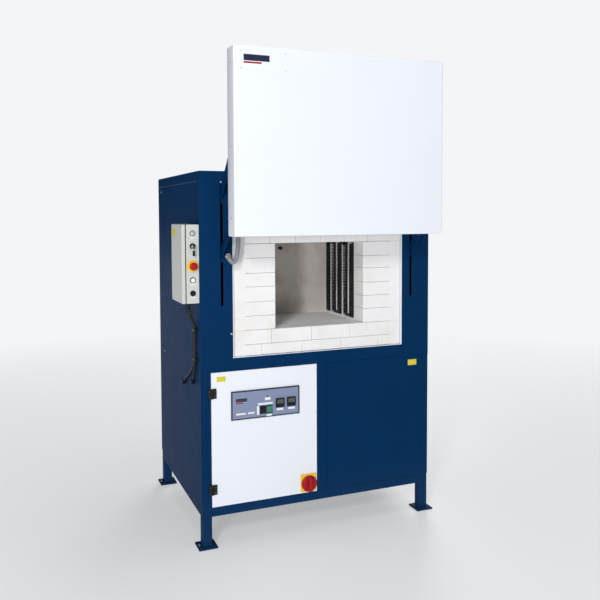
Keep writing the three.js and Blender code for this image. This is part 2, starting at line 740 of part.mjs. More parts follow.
addLegs();
addRails();
addInnerFrame();
addFrontSheets();
addSideAndRear();
addAccessPanel();
addBrickwork();
addChamber();
addThermocouple();
addHeatedWalls();
addArms();
addPivots();
addGearbox();
addDoor();
addStation();
addStationDevices();
addCables();
addConduit();
addControlDoor();
addIsolator();
addHinges();

// The origin is the middle of the bottom of the whole object's box.
const wholeBox = new THREE.Box3().setFromObject(group);
const middle = wholeBox.getCenter(new THREE.Vector3());
group.position.set(-middle.x, -middle.y, -wholeBox.min.z);

export default group;
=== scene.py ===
# A front-loading pottery kiln: the looks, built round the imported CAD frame. Metres, +Z up.
import math
import random

import bmesh
import bpy
from mathutils import Matrix, Vector


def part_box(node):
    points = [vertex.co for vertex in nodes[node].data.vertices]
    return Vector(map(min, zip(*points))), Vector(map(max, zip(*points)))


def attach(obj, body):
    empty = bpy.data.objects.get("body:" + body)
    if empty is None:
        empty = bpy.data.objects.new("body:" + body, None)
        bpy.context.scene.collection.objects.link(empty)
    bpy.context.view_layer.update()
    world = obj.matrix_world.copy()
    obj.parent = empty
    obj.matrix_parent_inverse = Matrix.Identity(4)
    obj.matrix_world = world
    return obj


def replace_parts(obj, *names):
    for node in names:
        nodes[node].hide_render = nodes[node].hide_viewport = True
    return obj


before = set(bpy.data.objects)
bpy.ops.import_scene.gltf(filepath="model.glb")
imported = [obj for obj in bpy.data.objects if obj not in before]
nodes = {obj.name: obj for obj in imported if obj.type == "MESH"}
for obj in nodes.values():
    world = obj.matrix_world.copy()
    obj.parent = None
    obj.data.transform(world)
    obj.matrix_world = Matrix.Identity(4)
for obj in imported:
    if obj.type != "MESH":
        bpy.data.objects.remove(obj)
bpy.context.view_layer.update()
random.seed(7)

MM = 0.001
FRONT = Vector((0, -1, 0))
LEFT = Vector((-1, 0, 0))
UP = Vector((0, 0, 1))
DOWN = Vector((0, 0, -1))

# Where the cabinet's own axes lie in the row frame: X = 0 on its centre, Y = 0 on its front sheet.
header_low, header_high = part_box("front_header")
CENTRE_X = (header_low.x + header_high.x) / 2
FRONT_Y = header_low.y


def place(x, y, z):
    """A point in cabinet millimetres as a point of the row frame."""
    return Vector((CENTRE_X + x * MM, FRONT_Y + y * MM, z * MM))


# ---------------------------------------------------------------- materials

class Shader:
    """A node tree with one principled shader and short calls for what feeds it."""

    def __init__(self, name, rough, metal=0.0):
        self.material = bpy.data.materials.new(name)
        self.material.use_nodes = True
        self.tree = self.material.node_tree
        self.principled = self.tree.nodes["Principled BSDF"]
        self.principled.inputs["Roughness"].default_value = rough
        self.principled.inputs["Metallic"].default_value = metal
        self.coords = self.tree.nodes.new("ShaderNodeTexCoord").outputs["Object"]

    def link(self, source, target):
        self.tree.links.new(source, target)

    def stretched(self, scale):
        mapping = self.tree.nodes.new("ShaderNodeMapping")
        mapping.inputs["Scale"].default_value = scale
        self.link(self.coords, mapping.inputs["Vector"])
        return mapping.outputs["Vector"]

    def noise(self, scale, detail=4, rough=0.55, vector=None):
        node = self.tree.nodes.new("ShaderNodeTexNoise")
        node.inputs["Scale"].default_value = scale
        node.inputs["Detail"].default_value = detail
        node.inputs["Roughness"].default_value = rough
        self.link(vector or self.coords, node.inputs["Vector"])
        return node.outputs["Fac"]

    def cells(self, scale):
        node = self.tree.nodes.new("ShaderNodeTexVoronoi")
        node.inputs["Scale"].default_value = scale
        self.link(self.coords, node.inputs["Vector"])
        return node.outputs["Distance"]

    def height(self):
        node = self.tree.nodes.new("ShaderNodeSeparateXYZ")
        self.link(self.coords, node.inputs["Vector"])
        return node.outputs["Z"]

    def span(self, value, low, high, to_low, to_high):
        node = self.tree.nodes.new("ShaderNodeMapRange")
        for key, number in (("From Min", low), ("From Max", high), ("To Min", to_low), ("To Max", to_high)):
            node.inputs[key].default_value = number
        self.link(value, node.inputs["Value"])
        return node.outputs["Result"]

    def ramp(self, value, stops):
        node = self.tree.nodes.new("ShaderNodeValToRGB")
        ramp = node.color_ramp
        while len(ramp.elements) < len(stops):
            ramp.elements.new(0.5)
        for element, (position, colour) in zip(ramp.elements, stops):
            element.position = position
            element.color = (*colour, 1)
        self.link(value, node.inputs["Fac"])
        return node.outputs["Color"]

    def mix(self, share, first, second, mode="MIX"):
        node = self.tree.nodes.new("ShaderNodeMix")
        node.data_type = "RGBA"
        node.blend_type = mode
        for key, source in ((0, share), (6, first), (7, second)):
            if isinstance(source, (int, float)):
                node.inputs[key].default_value = source
            elif isinstance(source, tuple):
                node.inputs[key].default_value = (*source, 1)
            else:
                self.link(source, node.inputs[key])
        return node.outputs[2]

    def colour(self, source):
        self.link(source, self.principled.inputs["Base Color"])

    def rough(self, source, low, high, to_low, to_high):
        self.link(self.span(source, low, high, to_low, to_high), self.principled.inputs["Roughness"])

    def bump(self, source, depth, strength=1.0):
        node = self.tree.nodes.new("ShaderNodeBump")
        node.inputs["Strength"].default_value = strength
        node.inputs["Distance"].default_value = depth
        self.link(source, node.inputs["Height"])
        before = self.principled.inputs["Normal"].links
        if before:
            self.link(before[0].from_socket, node.inputs["Normal"])
        self.link(node.outputs["Normal"], self.principled.inputs["Normal"])


def powder_coat(name, colour, rough, peel=0.00012, gloss=0.5, variation=0.06):
    """Baked powder paint: fine orange peel, faint cloudiness and a little dust low down."""
    s = Shader(name, rough)
    cloud = s.noise(2.2, 5)
    low = tuple(c * (1 - variation) for c in colour)
    high = tuple(min(1, c * (1 + variation)) for c in colour)
    base = s.ramp(cloud, [(0.3, low), (0.7, high)])
    dust = s.span(s.height(), 0.0, 0.35, 0.02, 0.0)
    s.colour(s.mix(dust, base, (0.30, 0.31, 0.33)))
    s.rough(s.noise(9, 4), 0.3, 0.7, rough - 0.02, rough + 0.03)
    s.bump(s.noise(420, 2, 0.4), peel)
    s.principled.inputs["Specular IOR Level"].default_value = gloss
    return s.material


def firebrick(name, light, tint, dark):
    """Porous insulating brick with a thin wash: pores, soft stains and faint streaks."""
    s = Shader(name, 0.92)
    stains = s.noise(5.5, 6, 0.62)
    base = s.ramp(stains, [(0.36, tint), (0.52, light), (0.8, tuple(min(1, c * 1.05) for c in light))])
    streaks = s.noise(3.0, 5, 0.6, s.stretched((1.0, 1.0, 5.0)))
    base = s.mix(s.span(streaks, 0.56, 0.74, 0.0, 0.32), base, tint)
    pores = s.cells(260.0)
    base = s.mix(s.span(pores, 0.05, 0.2, 0.16, 0.0), base, dark)
    s.colour(base)
    s.bump(pores, 0.0006, 0.7)
    s.bump(s.noise(38, 5), 0.0012, 0.8)
    return s.material


def plain(name, colour, rough, metal=0.0, grain=220, depth=0.00008, variation=0.08, gloss=0.5, coat=0.0,
        clear=0.0):
    """Moulded or machined stock: fine grain, slight colour drift and rubbed roughness."""
    s = Shader(name, rough, metal)
    drift = s.noise(26, 4)
    low = tuple(c * (1 - variation) for c in colour)
    high = tuple(min(1, c * (1 + variation)) for c in colour)
    s.colour(s.ramp(drift, [(0.3, low), (0.7, high)]))
    s.rough(s.noise(60, 4), 0.3, 0.7, max(0.02, rough - 0.06), min(1, rough + 0.08))
    s.bump(s.noise(grain, 2), depth)
    s.principled.inputs["Specular IOR Level"].default_value = gloss
    s.principled.inputs["Coat Weight"].default_value = coat
    s.principled.inputs["Coat Roughness"].default_value = 0.08
    s.principled.inputs["Transmission Weight"].default_value = clear
    return s.material


def brushed(name, colour, rough, direction):
    """Metal with fine lines along one axis."""
    s = Shader(name, rough, 1.0)
    lines = s.noise(90, 4, 0.7, s.stretched(direction))
    s.colour(s.ramp(lines, [(0.25, tuple(c * 0.86 for c in colour)), (0.75, colour)]))
    s.rough(lines, 0.3, 0.7, rough - 0.06, rough + 0.08)
    s.bump(lines, 0.00004)
    return s.material


def coil_metal():
    """Resistance wire after firing: dark oxide with paler patches."""
    s = Shader("coil_oxide", 0.6, 0.25)
    s.principled.inputs["Specular IOR Level"].default_value = 0.35
    base = s.ramp(s.noise(34, 5, 0.65), [(0.35, (0.008, 0.010, 0.015)), (0.6, (0.018, 0.022, 0.032)),
            (0.8, (0.07, 0.075, 0.085))])
    s.colour(base)
    s.bump(s.noise(900, 2), 0.00005)
    return s.material


BLUE = powder_coat("blue_powder_coat", (0.0024, 0.027, 0.088), 0.42, gloss=0.012, variation=0.07)
# A lighter blue for the roof bead: a painted highlight standing for light caught on its edge.
PAINTED_HIGHLIGHT_BLUE = powder_coat("blue_edge_painted_highlight", (0.030, 0.075, 0.150), 0.42, gloss=0.2)
WHITE = powder_coat("white_powder_coat", (0.765, 0.79, 0.845), 0.40, gloss=0.3, variation=0.010)
STATION = powder_coat("light_grey_coat", (0.52, 0.535, 0.505), 0.45, peel=0.0002, variation=0.03)
BRICK = firebrick("white_firebrick", (0.79, 0.785, 0.79), (0.755, 0.735, 0.70), (0.52, 0.47, 0.42))
LINING = firebrick("lining_board", (0.60, 0.565, 0.53), (0.50, 0.455, 0.41), (0.34, 0.29, 0.24))
HEARTH = firebrick("hearth_batts", (0.95, 0.945, 0.94), (0.90, 0.87, 0.83), (0.56, 0.51, 0.46))
GROOVED = firebrick("grooved_brick", (0.74, 0.73, 0.72), (0.66, 0.63, 0.59), (0.42, 0.38, 0.34))
FIBRE = firebrick("ceramic_fibre", (0.82, 0.81, 0.78), (0.74, 0.70, 0.63), (0.55, 0.50, 0.44))
BLACK = plain("black_moulding", (0.007, 0.007, 0.009), 0.42, gloss=0.22)
RUBBER = plain("black_rubber", (0.006, 0.006, 0.007), 0.5, grain=600, depth=0.0001, gloss=0.3)
RED = plain("red_moulding", (0.33, 0.005, 0.010), 0.34, variation=0.05, gloss=0.22)
GREEN = plain("green_moulding", (0.012, 0.20, 0.11), 0.25, coat=0.4)
YELLOW = plain("yellow_moulding", (0.80, 0.50, 0.03), 0.4, variation=0.05, gloss=0.3)
STICKER = plain("yellow_film", (0.62, 0.54, 0.035), 0.45, variation=0.05, gloss=0.3)
PALE = plain("white_moulding", (0.82, 0.82, 0.82), 0.3, coat=0.4, variation=0.02)
LABEL = plain("label_film", (0.74, 0.76, 0.80), 0.45, variation=0.03)
NAVY = plain("navy_print", (0.012, 0.014, 0.048), 0.4)
SLATE = plain("slate_print", (0.19, 0.235, 0.36), 0.42, variation=0.04)
SCREEN = plain("dark_screen", (0.012, 0.020, 0.016), 0.12, coat=1.0)
DIGITS = plain("screen_segments", (0.10, 0.20, 0.12), 0.3)
LENS = plain("clear_lens", (0.78, 0.84, 0.95), 0.12, clear=0.55, coat=1.0, variation=0.02)
STEEL = brushed("brushed_steel", (0.55, 0.56, 0.58), 0.3, (1.0, 1.0, 12.0))
CHROME = plain("bright_plating", (0.78, 0.79, 0.81), 0.14, metal=1.0, variation=0.03)
PLATE = plain("galvanised_plate", (0.50, 0.52, 0.54), 0.42, metal=0.7, grain=60, variation=0.12)
IRON = plain("painted_casting", (0.045, 0.05, 0.06), 0.6, metal=0.3, grain=120, depth=0.0003)
HOSE = plain("grey_sheath", (0.23, 0.24, 0.255), 0.55, metal=0.1)
COIL = coil_metal()
# Near-black former tubes: painted shade inside the coils and their wall grooves, not the ceramic's own pale
# colour.
SHADE_DARK_FORMER = firebrick("former_tube_painted_shade", (0.030, 0.032, 0.036), (0.02, 0.02, 0.024), (0.01, 0.01, 0.012))


# ---------------------------------------------------------------- mesh helpers

def finish_piece(name, bm, material, body, smooth=True):
    mesh = bpy.data.meshes.new(name)
    bmesh.ops.recalc_face_normals(bm, faces=bm.faces[:])
    bm.to_mesh(mesh)
    bm.free()
    return dress(bpy.data.objects.new(name, mesh), material, body, smooth)


def dress(obj, material, body, smooth=True):
    bpy.context.scene.collection.objects.link(obj)
    for one in material if isinstance(material, (list, tuple)) else [material]:
        obj.data.materials.append(one)
    if smooth and obj.type == "MESH":
        for face in obj.data.polygons:
            face.use_smooth = True
        weighted = obj.modifiers.new("normals", "WEIGHTED_NORMAL")
        weighted.keep_sharp = True
    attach(obj, body)
    return obj


def add_box(bm, low, high, bevel=0.001, segments=2, material=0):
    low, high = Vector(low), Vector(high)
    made = bmesh.ops.create_cube(bm, size=1.0)["verts"]
    size = high - low
    for vert in made:
        vert.co = low + Vector((size.x * (vert.co.x + 0.5), size.y * (vert.co.y + 0.5),
                size.z * (vert.co.z + 0.5)))
    faces = list({f for v in made for f in v.link_faces})
    for face in faces:
        face.material_index = material
    bevel = min(bevel, 0.45 * min(size))
    if bevel > 0:
        edges = list({e for v in made for e in v.link_edges})
        bmesh.ops.bevel(bm, geom=edges, offset=bevel, segments=segments, profile=0.5, affect="EDGES",
                clamp_overlap=True)


def turned(axis):
    """A rotation that takes +Z to axis."""
    return Vector(axis).to_track_quat("Z", "Y").to_matrix()


def add_lathe(bm, centre, axis, profile, segments=40, material=0):
    """Turns a closed or axis-to-axis profile of (radius, height) in millimetres round an axis."""
    basis = turned(axis)
    rings = []
    for radius, height in profile:
        if radius <= 1e-6:
            rings.append([bm.verts.new(Vector(centre) + basis @ Vector((0, 0, height * MM)))])
            continue
        ring = []
        for i in range(segments):
            turn = 2 * math.pi * i / segments
            point = Vector((radius * MM * math.cos(turn), radius * MM * math.sin(turn), height * MM))
            ring.append(bm.verts.new(Vector(centre) + basis @ point))
        rings.append(ring)
    closed = len(rings[0]) > 1 and len(rings[-1]) > 1
    pairs = list(zip(rings, rings[1:])) + ([(rings[-1], rings[0])] if closed else [])
    for a, b in pairs:
        for i in range(segments):
            j = (i + 1) % segments
            corners = [a[i % len(a)], a[j % len(a)], b[j % len(b)], b[i % len(b)]]
            corners = list(dict.fromkeys(corners))
            if len(corners) > 2:
                bm.faces.new(corners).material_index = material


def rounded_disc(radius, low, high, edge=1.0, steps=3):
    """A profile for a disc with a rounded outer edge on its high side."""
    profile = [(0, low), (radius, low)]
    for i in range(steps + 1):
        turn = math.pi / 2 * i / steps
        profile.append((radius - edge + edge * math.cos(turn), high - edge + edge * math.sin(turn)))
    return profile + [(0, high)]


def ring_profile(inner, outer, low, high, edge=0.8):
    return [(inner, low), (outer, low), (outer, high - edge), (outer - edge, high), (inner + edge, high),
            (inner, high - edge)]


def screw_profile(radius, height):
    """A pan head with a shallow socket."""
    return [(0, -0.4), (radius, -0.4), (radius, height * 0.35), (radius * 0.86, height * 0.8),
            (radius * 0.6, height),
            (radius * 0.42, height), (radius * 0.36, height * 0.45), (0, height * 0.35)]


def add_hex(bm, centre, axis, across, low, high, material=0):
    basis = turned(axis)
    radius = across / math.sqrt(3)
    layers = []
    for size, height in ((radius, low), (radius, high - 0.8), (radius * 0.9, high)):
        layers.append([bm.verts.new(Vector(centre) + basis @ (Vector((
            size * math.cos(math.pi / 3 * i), size * math.sin(math.pi / 3 * i),
                    height)) * MM)) for i in range(6)])
    bm.faces.new(layers[0]).material_index = material
    bm.faces.new(layers[-1]).material_index = material
    for a, b in zip(layers, layers[1:]):
        for i in range(6):
            bm.faces.new((a[i], a[(i + 1) % 6], b[(i + 1) % 6], b[i])).material_index = material


def smooth_path(points, spacing):
    """Evenly spaced points on a Catmull-Rom curve through the given points."""
    points = [Vector(p) for p in points]
    ends = [2 * points[0] - points[1]] + points + [2 * points[-1] - points[-2]]
    dense = []
    for a, b, c, d in zip(ends, ends[1:], ends[2:], ends[3:]):
        for i in range(16):
            t = i / 16
            dense.append(0.5 * (2 * b + (c - a) * t + (2 * a - 5 * b + 4 * c - d) * t * t
                                + (3 * b - a - 3 * c + d) * t ** 3))
    dense.append(points[-1])
    out, travelled, target = [dense[0]], 0.0, spacing
    for a, b in zip(dense, dense[1:]):
        step = (b - a).length
        while step > 0 and travelled + step >= target:
            out.append(a.lerp(b, (target - travelled) / step))
            target += spacing
        travelled += step
    return out + [dense[-1]]


def add_tube(bm, path, radius_at, sides=12, material=0):
    """A closed tube along points; radius_at gives the radius at point number i."""
    normal = (path[1] - path[0]).orthogonal().normalized()
    rings = []
    for i, point in enumerate(path):
        tangent = (path[min(i + 1, len(path) - 1)] - path[max(i - 1, 0)]).normalized()
        normal = (normal - tangent * normal.dot(tangent)).normalized()
        side = tangent.cross(normal)
        rings.append([bm.verts.new(point + radius_at(i) * (
            math.cos(2 * math.pi * k / sides) * normal + math.sin(2 * math.pi * k / sides) * side)) for k in range(sides)])
    for a, b in zip(rings, rings[1:]):
        for k in range(sides):
            bm.faces.new((a[k], a[(k + 1) % sides], b[(k + 1) % sides], b[k])).material_index = material
    bm.faces.new(rings[0]).material_index = material
    bm.faces.new(rings[-1]).material_index = material


def add_sheet(bm, xs, zs, y0, y1, is_open, material=0):
    """A flat sheet facing the front made of grid cells, with the cells that is_open names left out."""
    grid = {}
    for i, x in enumerate(xs):
        for j, z in enumerate(zs):
            for k, y in enumerate((y0, y1)):
                grid[i, j, k] = bm.verts.new((x, y, z))
    solid = {(i, j) for i in range(len(xs) - 1) for j in range(len(zs) - 1)
             if not is_open((xs[i] + xs[i + 1]) / 2, (zs[j] + zs[j + 1]) / 2)}
    for i, j in solid:
        for k in (0, 1):
            bm.faces.new([grid[i + a, j + b, k] for a, b in ((0, 0), (1, 0), (1, 1), (0, 1))])
        for (di, dj), ends in (((-1, 0), ((0, 0), (0, 1))), ((1, 0), ((1, 0), (1, 1))),
                               ((0, -1), ((0, 0), (1, 0))), ((0, 1), ((0, 1), (1, 1)))):
            if (i + di, j + dj) in solid:
                continue
            (a, b), (c, d) = ends
            bm.faces.new([grid[i + a, j + b, 0], grid[i + c, j + d, 0], grid[i + c, j + d, 1],
                    grid[i + a, j + b, 1]])
    bmesh.ops.delete(bm, geom=[v for v in bm.verts if not v.link_faces], context="VERTS")


def bevel_modifier(obj, width, segments=2, angle=35):
    bevel = obj.modifiers.new("edges", "BEVEL")
    bevel.width = width
    bevel.segments = segments
    bevel.limit_method = "ANGLE"
    bevel.angle_limit = math.radians(angle)
    bevel.harden_normals = False
    return obj


def keep_node(name, material, bevel=0.0012, segments=2, flat=False):
    """A CAD node whose shape is right keeps it, with soft edges and a real material."""
    obj = nodes[name]
    obj.data.materials.clear()
    obj.data.materials.append(material)
    for face in obj.data.polygons:
        face.use_smooth = not flat
        face.material_index = 0
    weld = obj.modifiers.new("weld", "WELD")
    weld.merge_threshold = 1e-5
    planar = obj.modifiers.new("flat", "DECIMATE")
    planar.decimate_type = "DISSOLVE"
    planar.angle_limit = math.radians(1)
    bevel_modifier(obj, bevel, segments)
    if not flat:
        weighted = obj.modifiers.new("normals", "WEIGHTED_NORMAL")
        weighted.keep_sharp = True


# ---------------------------------------------------------------- cabinet

def dress_kept_nodes():
    for name in ("leg_front_left", "leg_front_right", "leg_rear_left", "leg_rear_right"):
        keep_node(name, BLUE, 0.0022, 3)
    for name in ("bottom_rail_front", "bottom_rail_rear", "bottom_rail_left", "bottom_rail_right"):
        keep_node(name, BLUE, 0.0022, 3)
    for name in ("chamber_deck", "front_mullion", "side_panel_left", "side_panel_right", "rear_panel"):
        keep_node(name, BLUE, 0.0006, flat=True)
    for name in ("roof_panel", "access_panel"):
        keep_node(name, BLUE, 0.0008, flat=True)
    for side in ("left", "right"):
        keep_node(f"upper_arm_{side}", BLUE, 0.0008)
        keep_node(f"lower_arm_{side}", BLUE, 0.0008)
        keep_node(f"pivot_bracket_{side}", BLUE, 0.0008)
        keep_node(f"counterweight_{side}", IRON, 0.003)
        keep_node(f"chamber_wall_{side}", GROOVED, 0.0015, flat=True)
    keep_node("chamber_back", LINING, 0.002, flat=True)
    keep_node("chamber_roof", LINING, 0.002, flat=True)
    keep_node("torque_shaft", STEEL, 0.001)
    keep_node("lift_gearbox", IRON, 0.004, 3)
    # The thermocouple's black is painted shade: it stands for the dark hole at the top of the back wall.
    keep_node("thermocouple", BLACK, 0.001)
    keep_node("hinge_upper", BLACK, 0.0012)
    keep_node("hinge_lower", BLACK, 0.0012)
    keep_node("rocker_left", BLACK, 0.0012, 3)
    keep_node("rocker_right", GREEN, 0.0012, 3)


def make_front_skin():
    """One folded sheet with the mouth and both arm slots cut out stands for the four CAD strips."""
    low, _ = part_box("front_stile_left")
    _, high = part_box("front_stile_right")
    mouth_low, mouth_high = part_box("front_sill")
    slot_half = 7 * MM
    arm_left = sum((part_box("upper_arm_left")[k].x for k in (0, 1))) / 2
    arm_right = sum((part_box("upper_arm_right")[k].x for k in (0, 1))) / 2
    slots = [(arm_left - slot_half, arm_left + slot_half), (arm_right - slot_half, arm_right + slot_half)]
    slot_low, slot_high = SLOT_BOTTOM * MM, SLOT_TOP * MM
    mouth_top = header_low.z
    xs = sorted([low.x, high.x, mouth_low.x, mouth_high.x] + [x for pair in slots for x in pair])
    zs = sorted([low.z, high.z, mouth_high.z, mouth_top, slot_low, slot_high])

    def is_open(x, z):
        in_mouth = mouth_low.x < x < mouth_high.x and mouth_high.z < z < mouth_top
        in_slot = slot_low < z < slot_high and any(a < x < b for a, b in slots)
        return in_mouth or in_slot

    bm = bmesh.new()
    add_sheet(bm, xs, zs, low.y, high.y, is_open)
    skin = finish_piece("front_skin", bm, BLUE, "root")
    bevel_modifier(skin, 0.0007, 2)
    skin.modifiers.move(1, 0)
    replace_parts(skin, "front_stile_left", "front_stile_right", "front_header", "front_sill")
    liner_depth = 3 * MM
    for name, x in (("slot_liner_left", arm_left), ("slot_liner_right", arm_right)):
        bm = bmesh.new()
        for side in (-1, 1):
            add_box(bm, (x + side * slot_half - 0.0008, high.y, slot_low - 0.004),
                    (x + side * slot_half + 0.0008, high.y + liner_depth, slot_high + 0.004), 0.0003, 1)
        finish_piece(name, bm, BLACK, "root")


SLOT_BOTTOM = 1258
SLOT_TOP = 1876


def make_mouth_trim():
    """A thin white angle covers the gap between the front sheet and the brickwork."""
    low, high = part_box("front_sill")
    width, reach = 5 * MM, 14 * MM
    bm = bmesh.new()
    for x0, x1 in ((low.x, low.x + width), (high.x - width, high.x)):
        add_box(bm, (x0, low.y + 0.0022, high.z + 0.0005), (x1, low.y + reach, header_low.z - 0.0005),
                0.0006)
    add_box(bm, (low.x + width, low.y + 0.0022, high.z + 0.0005),
            (high.x - width, low.y + reach, high.z + 0.0035), 0.0006)
    finish_piece("mouth_trim", bm, WHITE, "root")


SIDE_SCREWS = ((942, 1862), (895, 877))


def make_screws():
    spots = {
        "front_screw": [(place(-558, 0, 1890), FRONT), (place(558, 0, 1890), FRONT),
                (place(-507, 0, 1108), FRONT)],
        "side_screw_left": [(place(-673, y, z), LEFT) for y, z in SIDE_SCREWS],
        "side_screw_right": [(place(673, y, z), -LEFT) for y, z in SIDE_SCREWS],
        "rear_screw": [(place(x, 1030, z), -FRONT) for x in (-640, 0, 640) for z in (260, 1080, 1900)],
        "access_screw": [(place(x, 0, z), FRONT) for x in (52, 600) for z in (240, 563)],
        "roof_screw": [(place(x, y, 1946), UP) for x in (-640, 0, 640) for y in (40, 990)],
    }
    for name, places in spots.items():
        bm = bmesh.new()
        for centre, axis in places:
            add_lathe(bm, centre, axis, screw_profile(5.5, 2.6), 20)
        painted = name in ("access_screw", "roof_screw")
        finish_piece(name, bm, BLUE if painted else STEEL, "root")


def make_anchor_bolts():
    bm = bmesh.new()
    for side in ("front_left", "front_right", "rear_left", "rear_right"):
        low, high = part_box(f"leg_{side}")
        outward = 1 if "right" in side else -1
        x = high.x - 0.013 if outward > 0 else low.x + 0.013
        y = (low.y + high.y) / 2
        centre = Vector((x, y, 0.010))
        add_lathe(bm, centre, UP, ring_profile(0.01, 9.5, 0, 1.8), 24)
        add_hex(bm, centre, UP, 13, 1.8, 8)
    finish_piece("anchor_bolts", bm, STEEL, "root")


def make_roof_seam():
    """The turned-down lip of the roof ends in a small bead; its lighter blue is a painted highlight along
    the edge.
    """
    bead, margin = 1.5 * MM, 40 * MM
    for name in ("left", "right"):
        low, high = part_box(f"side_panel_{name}")
        lid_low, lid_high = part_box("roof_panel")
        x = lid_low.x if name == "left" else lid_high.x
        outer = x + (bead if name == "right" else -bead)
        bm = bmesh.new()
        add_box(bm, (min(x, outer), low.y + margin, high.z - 0.5 * MM),
                (max(x, outer), high.y - margin, high.z + 2.5 * MM), 0.0006)
        finish_piece(f"roof_bead_{name}", bm, PAINTED_HIGHLIGHT_BLUE, "root")


# ---------------------------------------------------------------- brickwork

COURSE = 76 * MM
JOINT = 1.1 * MM
FACE_JITTER = 0.7 * MM
COURSE_JITTER = 3.5 * MM
LAP = 3 * MM
TRIM = 5.5 * MM


def add_brick(bm, low, high, bevel=0.0022):
    """One brick, slightly out of line with its neighbours and with worn edges."""
    shift = random.uniform(0.2, 1.0) * FACE_JITTER
    low, high = Vector(low), Vector(high)
    add_box(bm, (low.x + JOINT / 2, low.y + shift, low.z + JOINT / 2),
            (high.x - JOINT / 2, high.y - 0.0005, high.z - JOINT / 2), bevel * random.uniform(0.7, 1.3), 2)


def add_board(bm, low, high):
    """A smooth edge board that laps over the worn brick ends."""
    add_box(bm, low, high, 0.0004, 1)


def courses(bottom, top):
    count = max(1, round((top - bottom) / COURSE))
    inner = [bottom + (top - bottom) * i / count + random.uniform(-1, 1) * COURSE_JITTER for i in range(1,
            count)]
    return [bottom] + inner + [top]


def make_brickwork():
    board = 68 * MM
    for side in ("left", "right"):
        low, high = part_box(f"brick_jamb_{side}")
        inner0, inner1 = (low.x + board, high.x) if side == "left" else (low.x, high.x - board)
        bm = bmesh.new()
        levels = courses(low.z, high.z)
        for z0, z1 in zip(levels, levels[1:]):
            add_brick(bm, (inner0, low.y, z0), (inner1, high.y, z1))
        add_board(bm, (low.x + TRIM, low.y, low.z) if side == "left" else (high.x - board - LAP, low.y,
                low.z),
                  (low.x + board + LAP, high.y, high.z) if side == "left" else (high.x - TRIM, high.y,
                          high.z))
        piece = finish_piece(f"jamb_bricks_{side}", bm, BRICK, "root")
        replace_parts(piece, f"brick_jamb_{side}")

    low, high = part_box("brick_sill")
    bm = bmesh.new()
    rows = [low.z + 0.004, low.z + 62 * MM, high.z]
    for row, (z0, z1) in enumerate(zip(rows, rows[1:])):
        x = low.x + board
        first = 150 * MM if row else 95 * MM
        edges = [x] + [x + first + i * 230 * MM for i in range(4) if x + first + i * 230 * MM < high.x - board - 40 * MM]
        edges.append(high.x - board)
        for x0, x1 in zip(edges, edges[1:]):
            add_brick(bm, (x0, low.y, z0), (x1, high.y, z1))
    for x0, x1 in ((low.x + TRIM, low.x + board + LAP), (high.x - board - LAP, high.x - TRIM)):
        add_board(bm, (x0, low.y, low.z + 0.004), (x1, high.y, high.z))
    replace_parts(finish_piece("sill_bricks", bm, BRICK, "root"), "brick_sill")

    low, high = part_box("brick_lintel")
    bm = bmesh.new()
    count = 6
    step = (high.x - low.x - 2 * board) / count
    for i in range(count):
        x0 = low.x + board + i * step
        add_brick(bm, (x0, low.y, low.z), (x0 + step, high.y, low.z + 114 * MM))
        add_brick(bm, (x0, low.y, low.z + 114 * MM), (x0 + step, high.y, high.z))
    for x0, x1 in ((low.x + TRIM, low.x + board + LAP), (high.x - board - LAP, high.x - TRIM)):
        add_board(bm, (x0, low.y, low.z), (x1, high.y, high.z))
    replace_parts(finish_piece("lintel_bricks", bm, BRICK, "root"), "brick_lintel")

    low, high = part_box("hearth")
    bm = bmesh.new()
    columns, rows = 2, 3
    for i in range(columns):
        for j in range(rows):
            x0 = low.x + (high.x - low.x) * i / columns
            y0 = low.y + (high.y - low.y) * j / rows
            add_box(bm, (x0 + JOINT / 3, y0 + JOINT / 3, low.z),
                    (x0 + (high.x - low.x) / columns - JOINT / 3,
                            y0 + (high.y - low.y) / rows - JOINT / 3, high.z - 0.0004), 0.0012)
    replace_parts(finish_piece("hearth_tiles", bm, HEARTH, "root"), "hearth")


# ---------------------------------------------------------------- heating

COILS = 5
COIL_PITCH = 9.0 * MM
WIRE = 2.7 * MM


def make_elements():
    """Each side wall holds five wound coils on ceramic tubes, joined at alternate ends."""
    for side in ("left", "right"):
        low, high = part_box(f"element_{side}")
        radius = (high.x - low.x) / 2 - WIRE
        x = (low.x + high.x) / 2
        pitch = (high.y - low.y - (high.x - low.x)) / (COILS - 1)
        first = low.y + (high.x - low.x) / 2
        turns = round((high.z - low.z - 4 * WIRE) / COIL_PITCH)
        curve = bpy.data.curves.new(f"heating_coil_{side}", "CURVE")
        curve.dimensions = "3D"
        curve.bevel_depth = WIRE
        curve.bevel_resolution = 1
        curve.use_fill_caps = True
        points = []
        per_turn = 12
        total = turns * per_turn
        for c in range(COILS):
            y = first + c * pitch
            rising = c % 2 == 1
            for i in range(total + 1):
                turn = 2 * math.pi * i / per_turn
                t = i / total
                z = low.z + 2 * WIRE + (high.z - low.z - 4 * WIRE) * (t if rising else 1 - t)
                points.append((x + radius * math.sin(turn), y - radius * math.cos(turn), z))
        spline = curve.splines.new("POLY")
        spline.points.add(len(points) - 1)
        for target, point in zip(spline.points, points):
            target.co = (*point, 1)
        coil = bpy.data.objects.new(f"heating_coil_{side}", curve)
        dress(coil, COIL, "root", smooth=False)
        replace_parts(coil, f"element_{side}")
        # The formers carry painted shade: they are coloured near-black for the shade inside the coils.
        bm = bmesh.new()
        for c in range(COILS):
            add_lathe(bm, Vector((x, first + c * pitch, low.z + 0.001)), UP,
                      rounded_disc(17, 0, (high.z - low.z) / MM - 2, 1.5), 24)
        finish_piece(f"coil_formers_{side}", bm, SHADE_DARK_FORMER, "root")


# ---------------------------------------------------------------- rising door

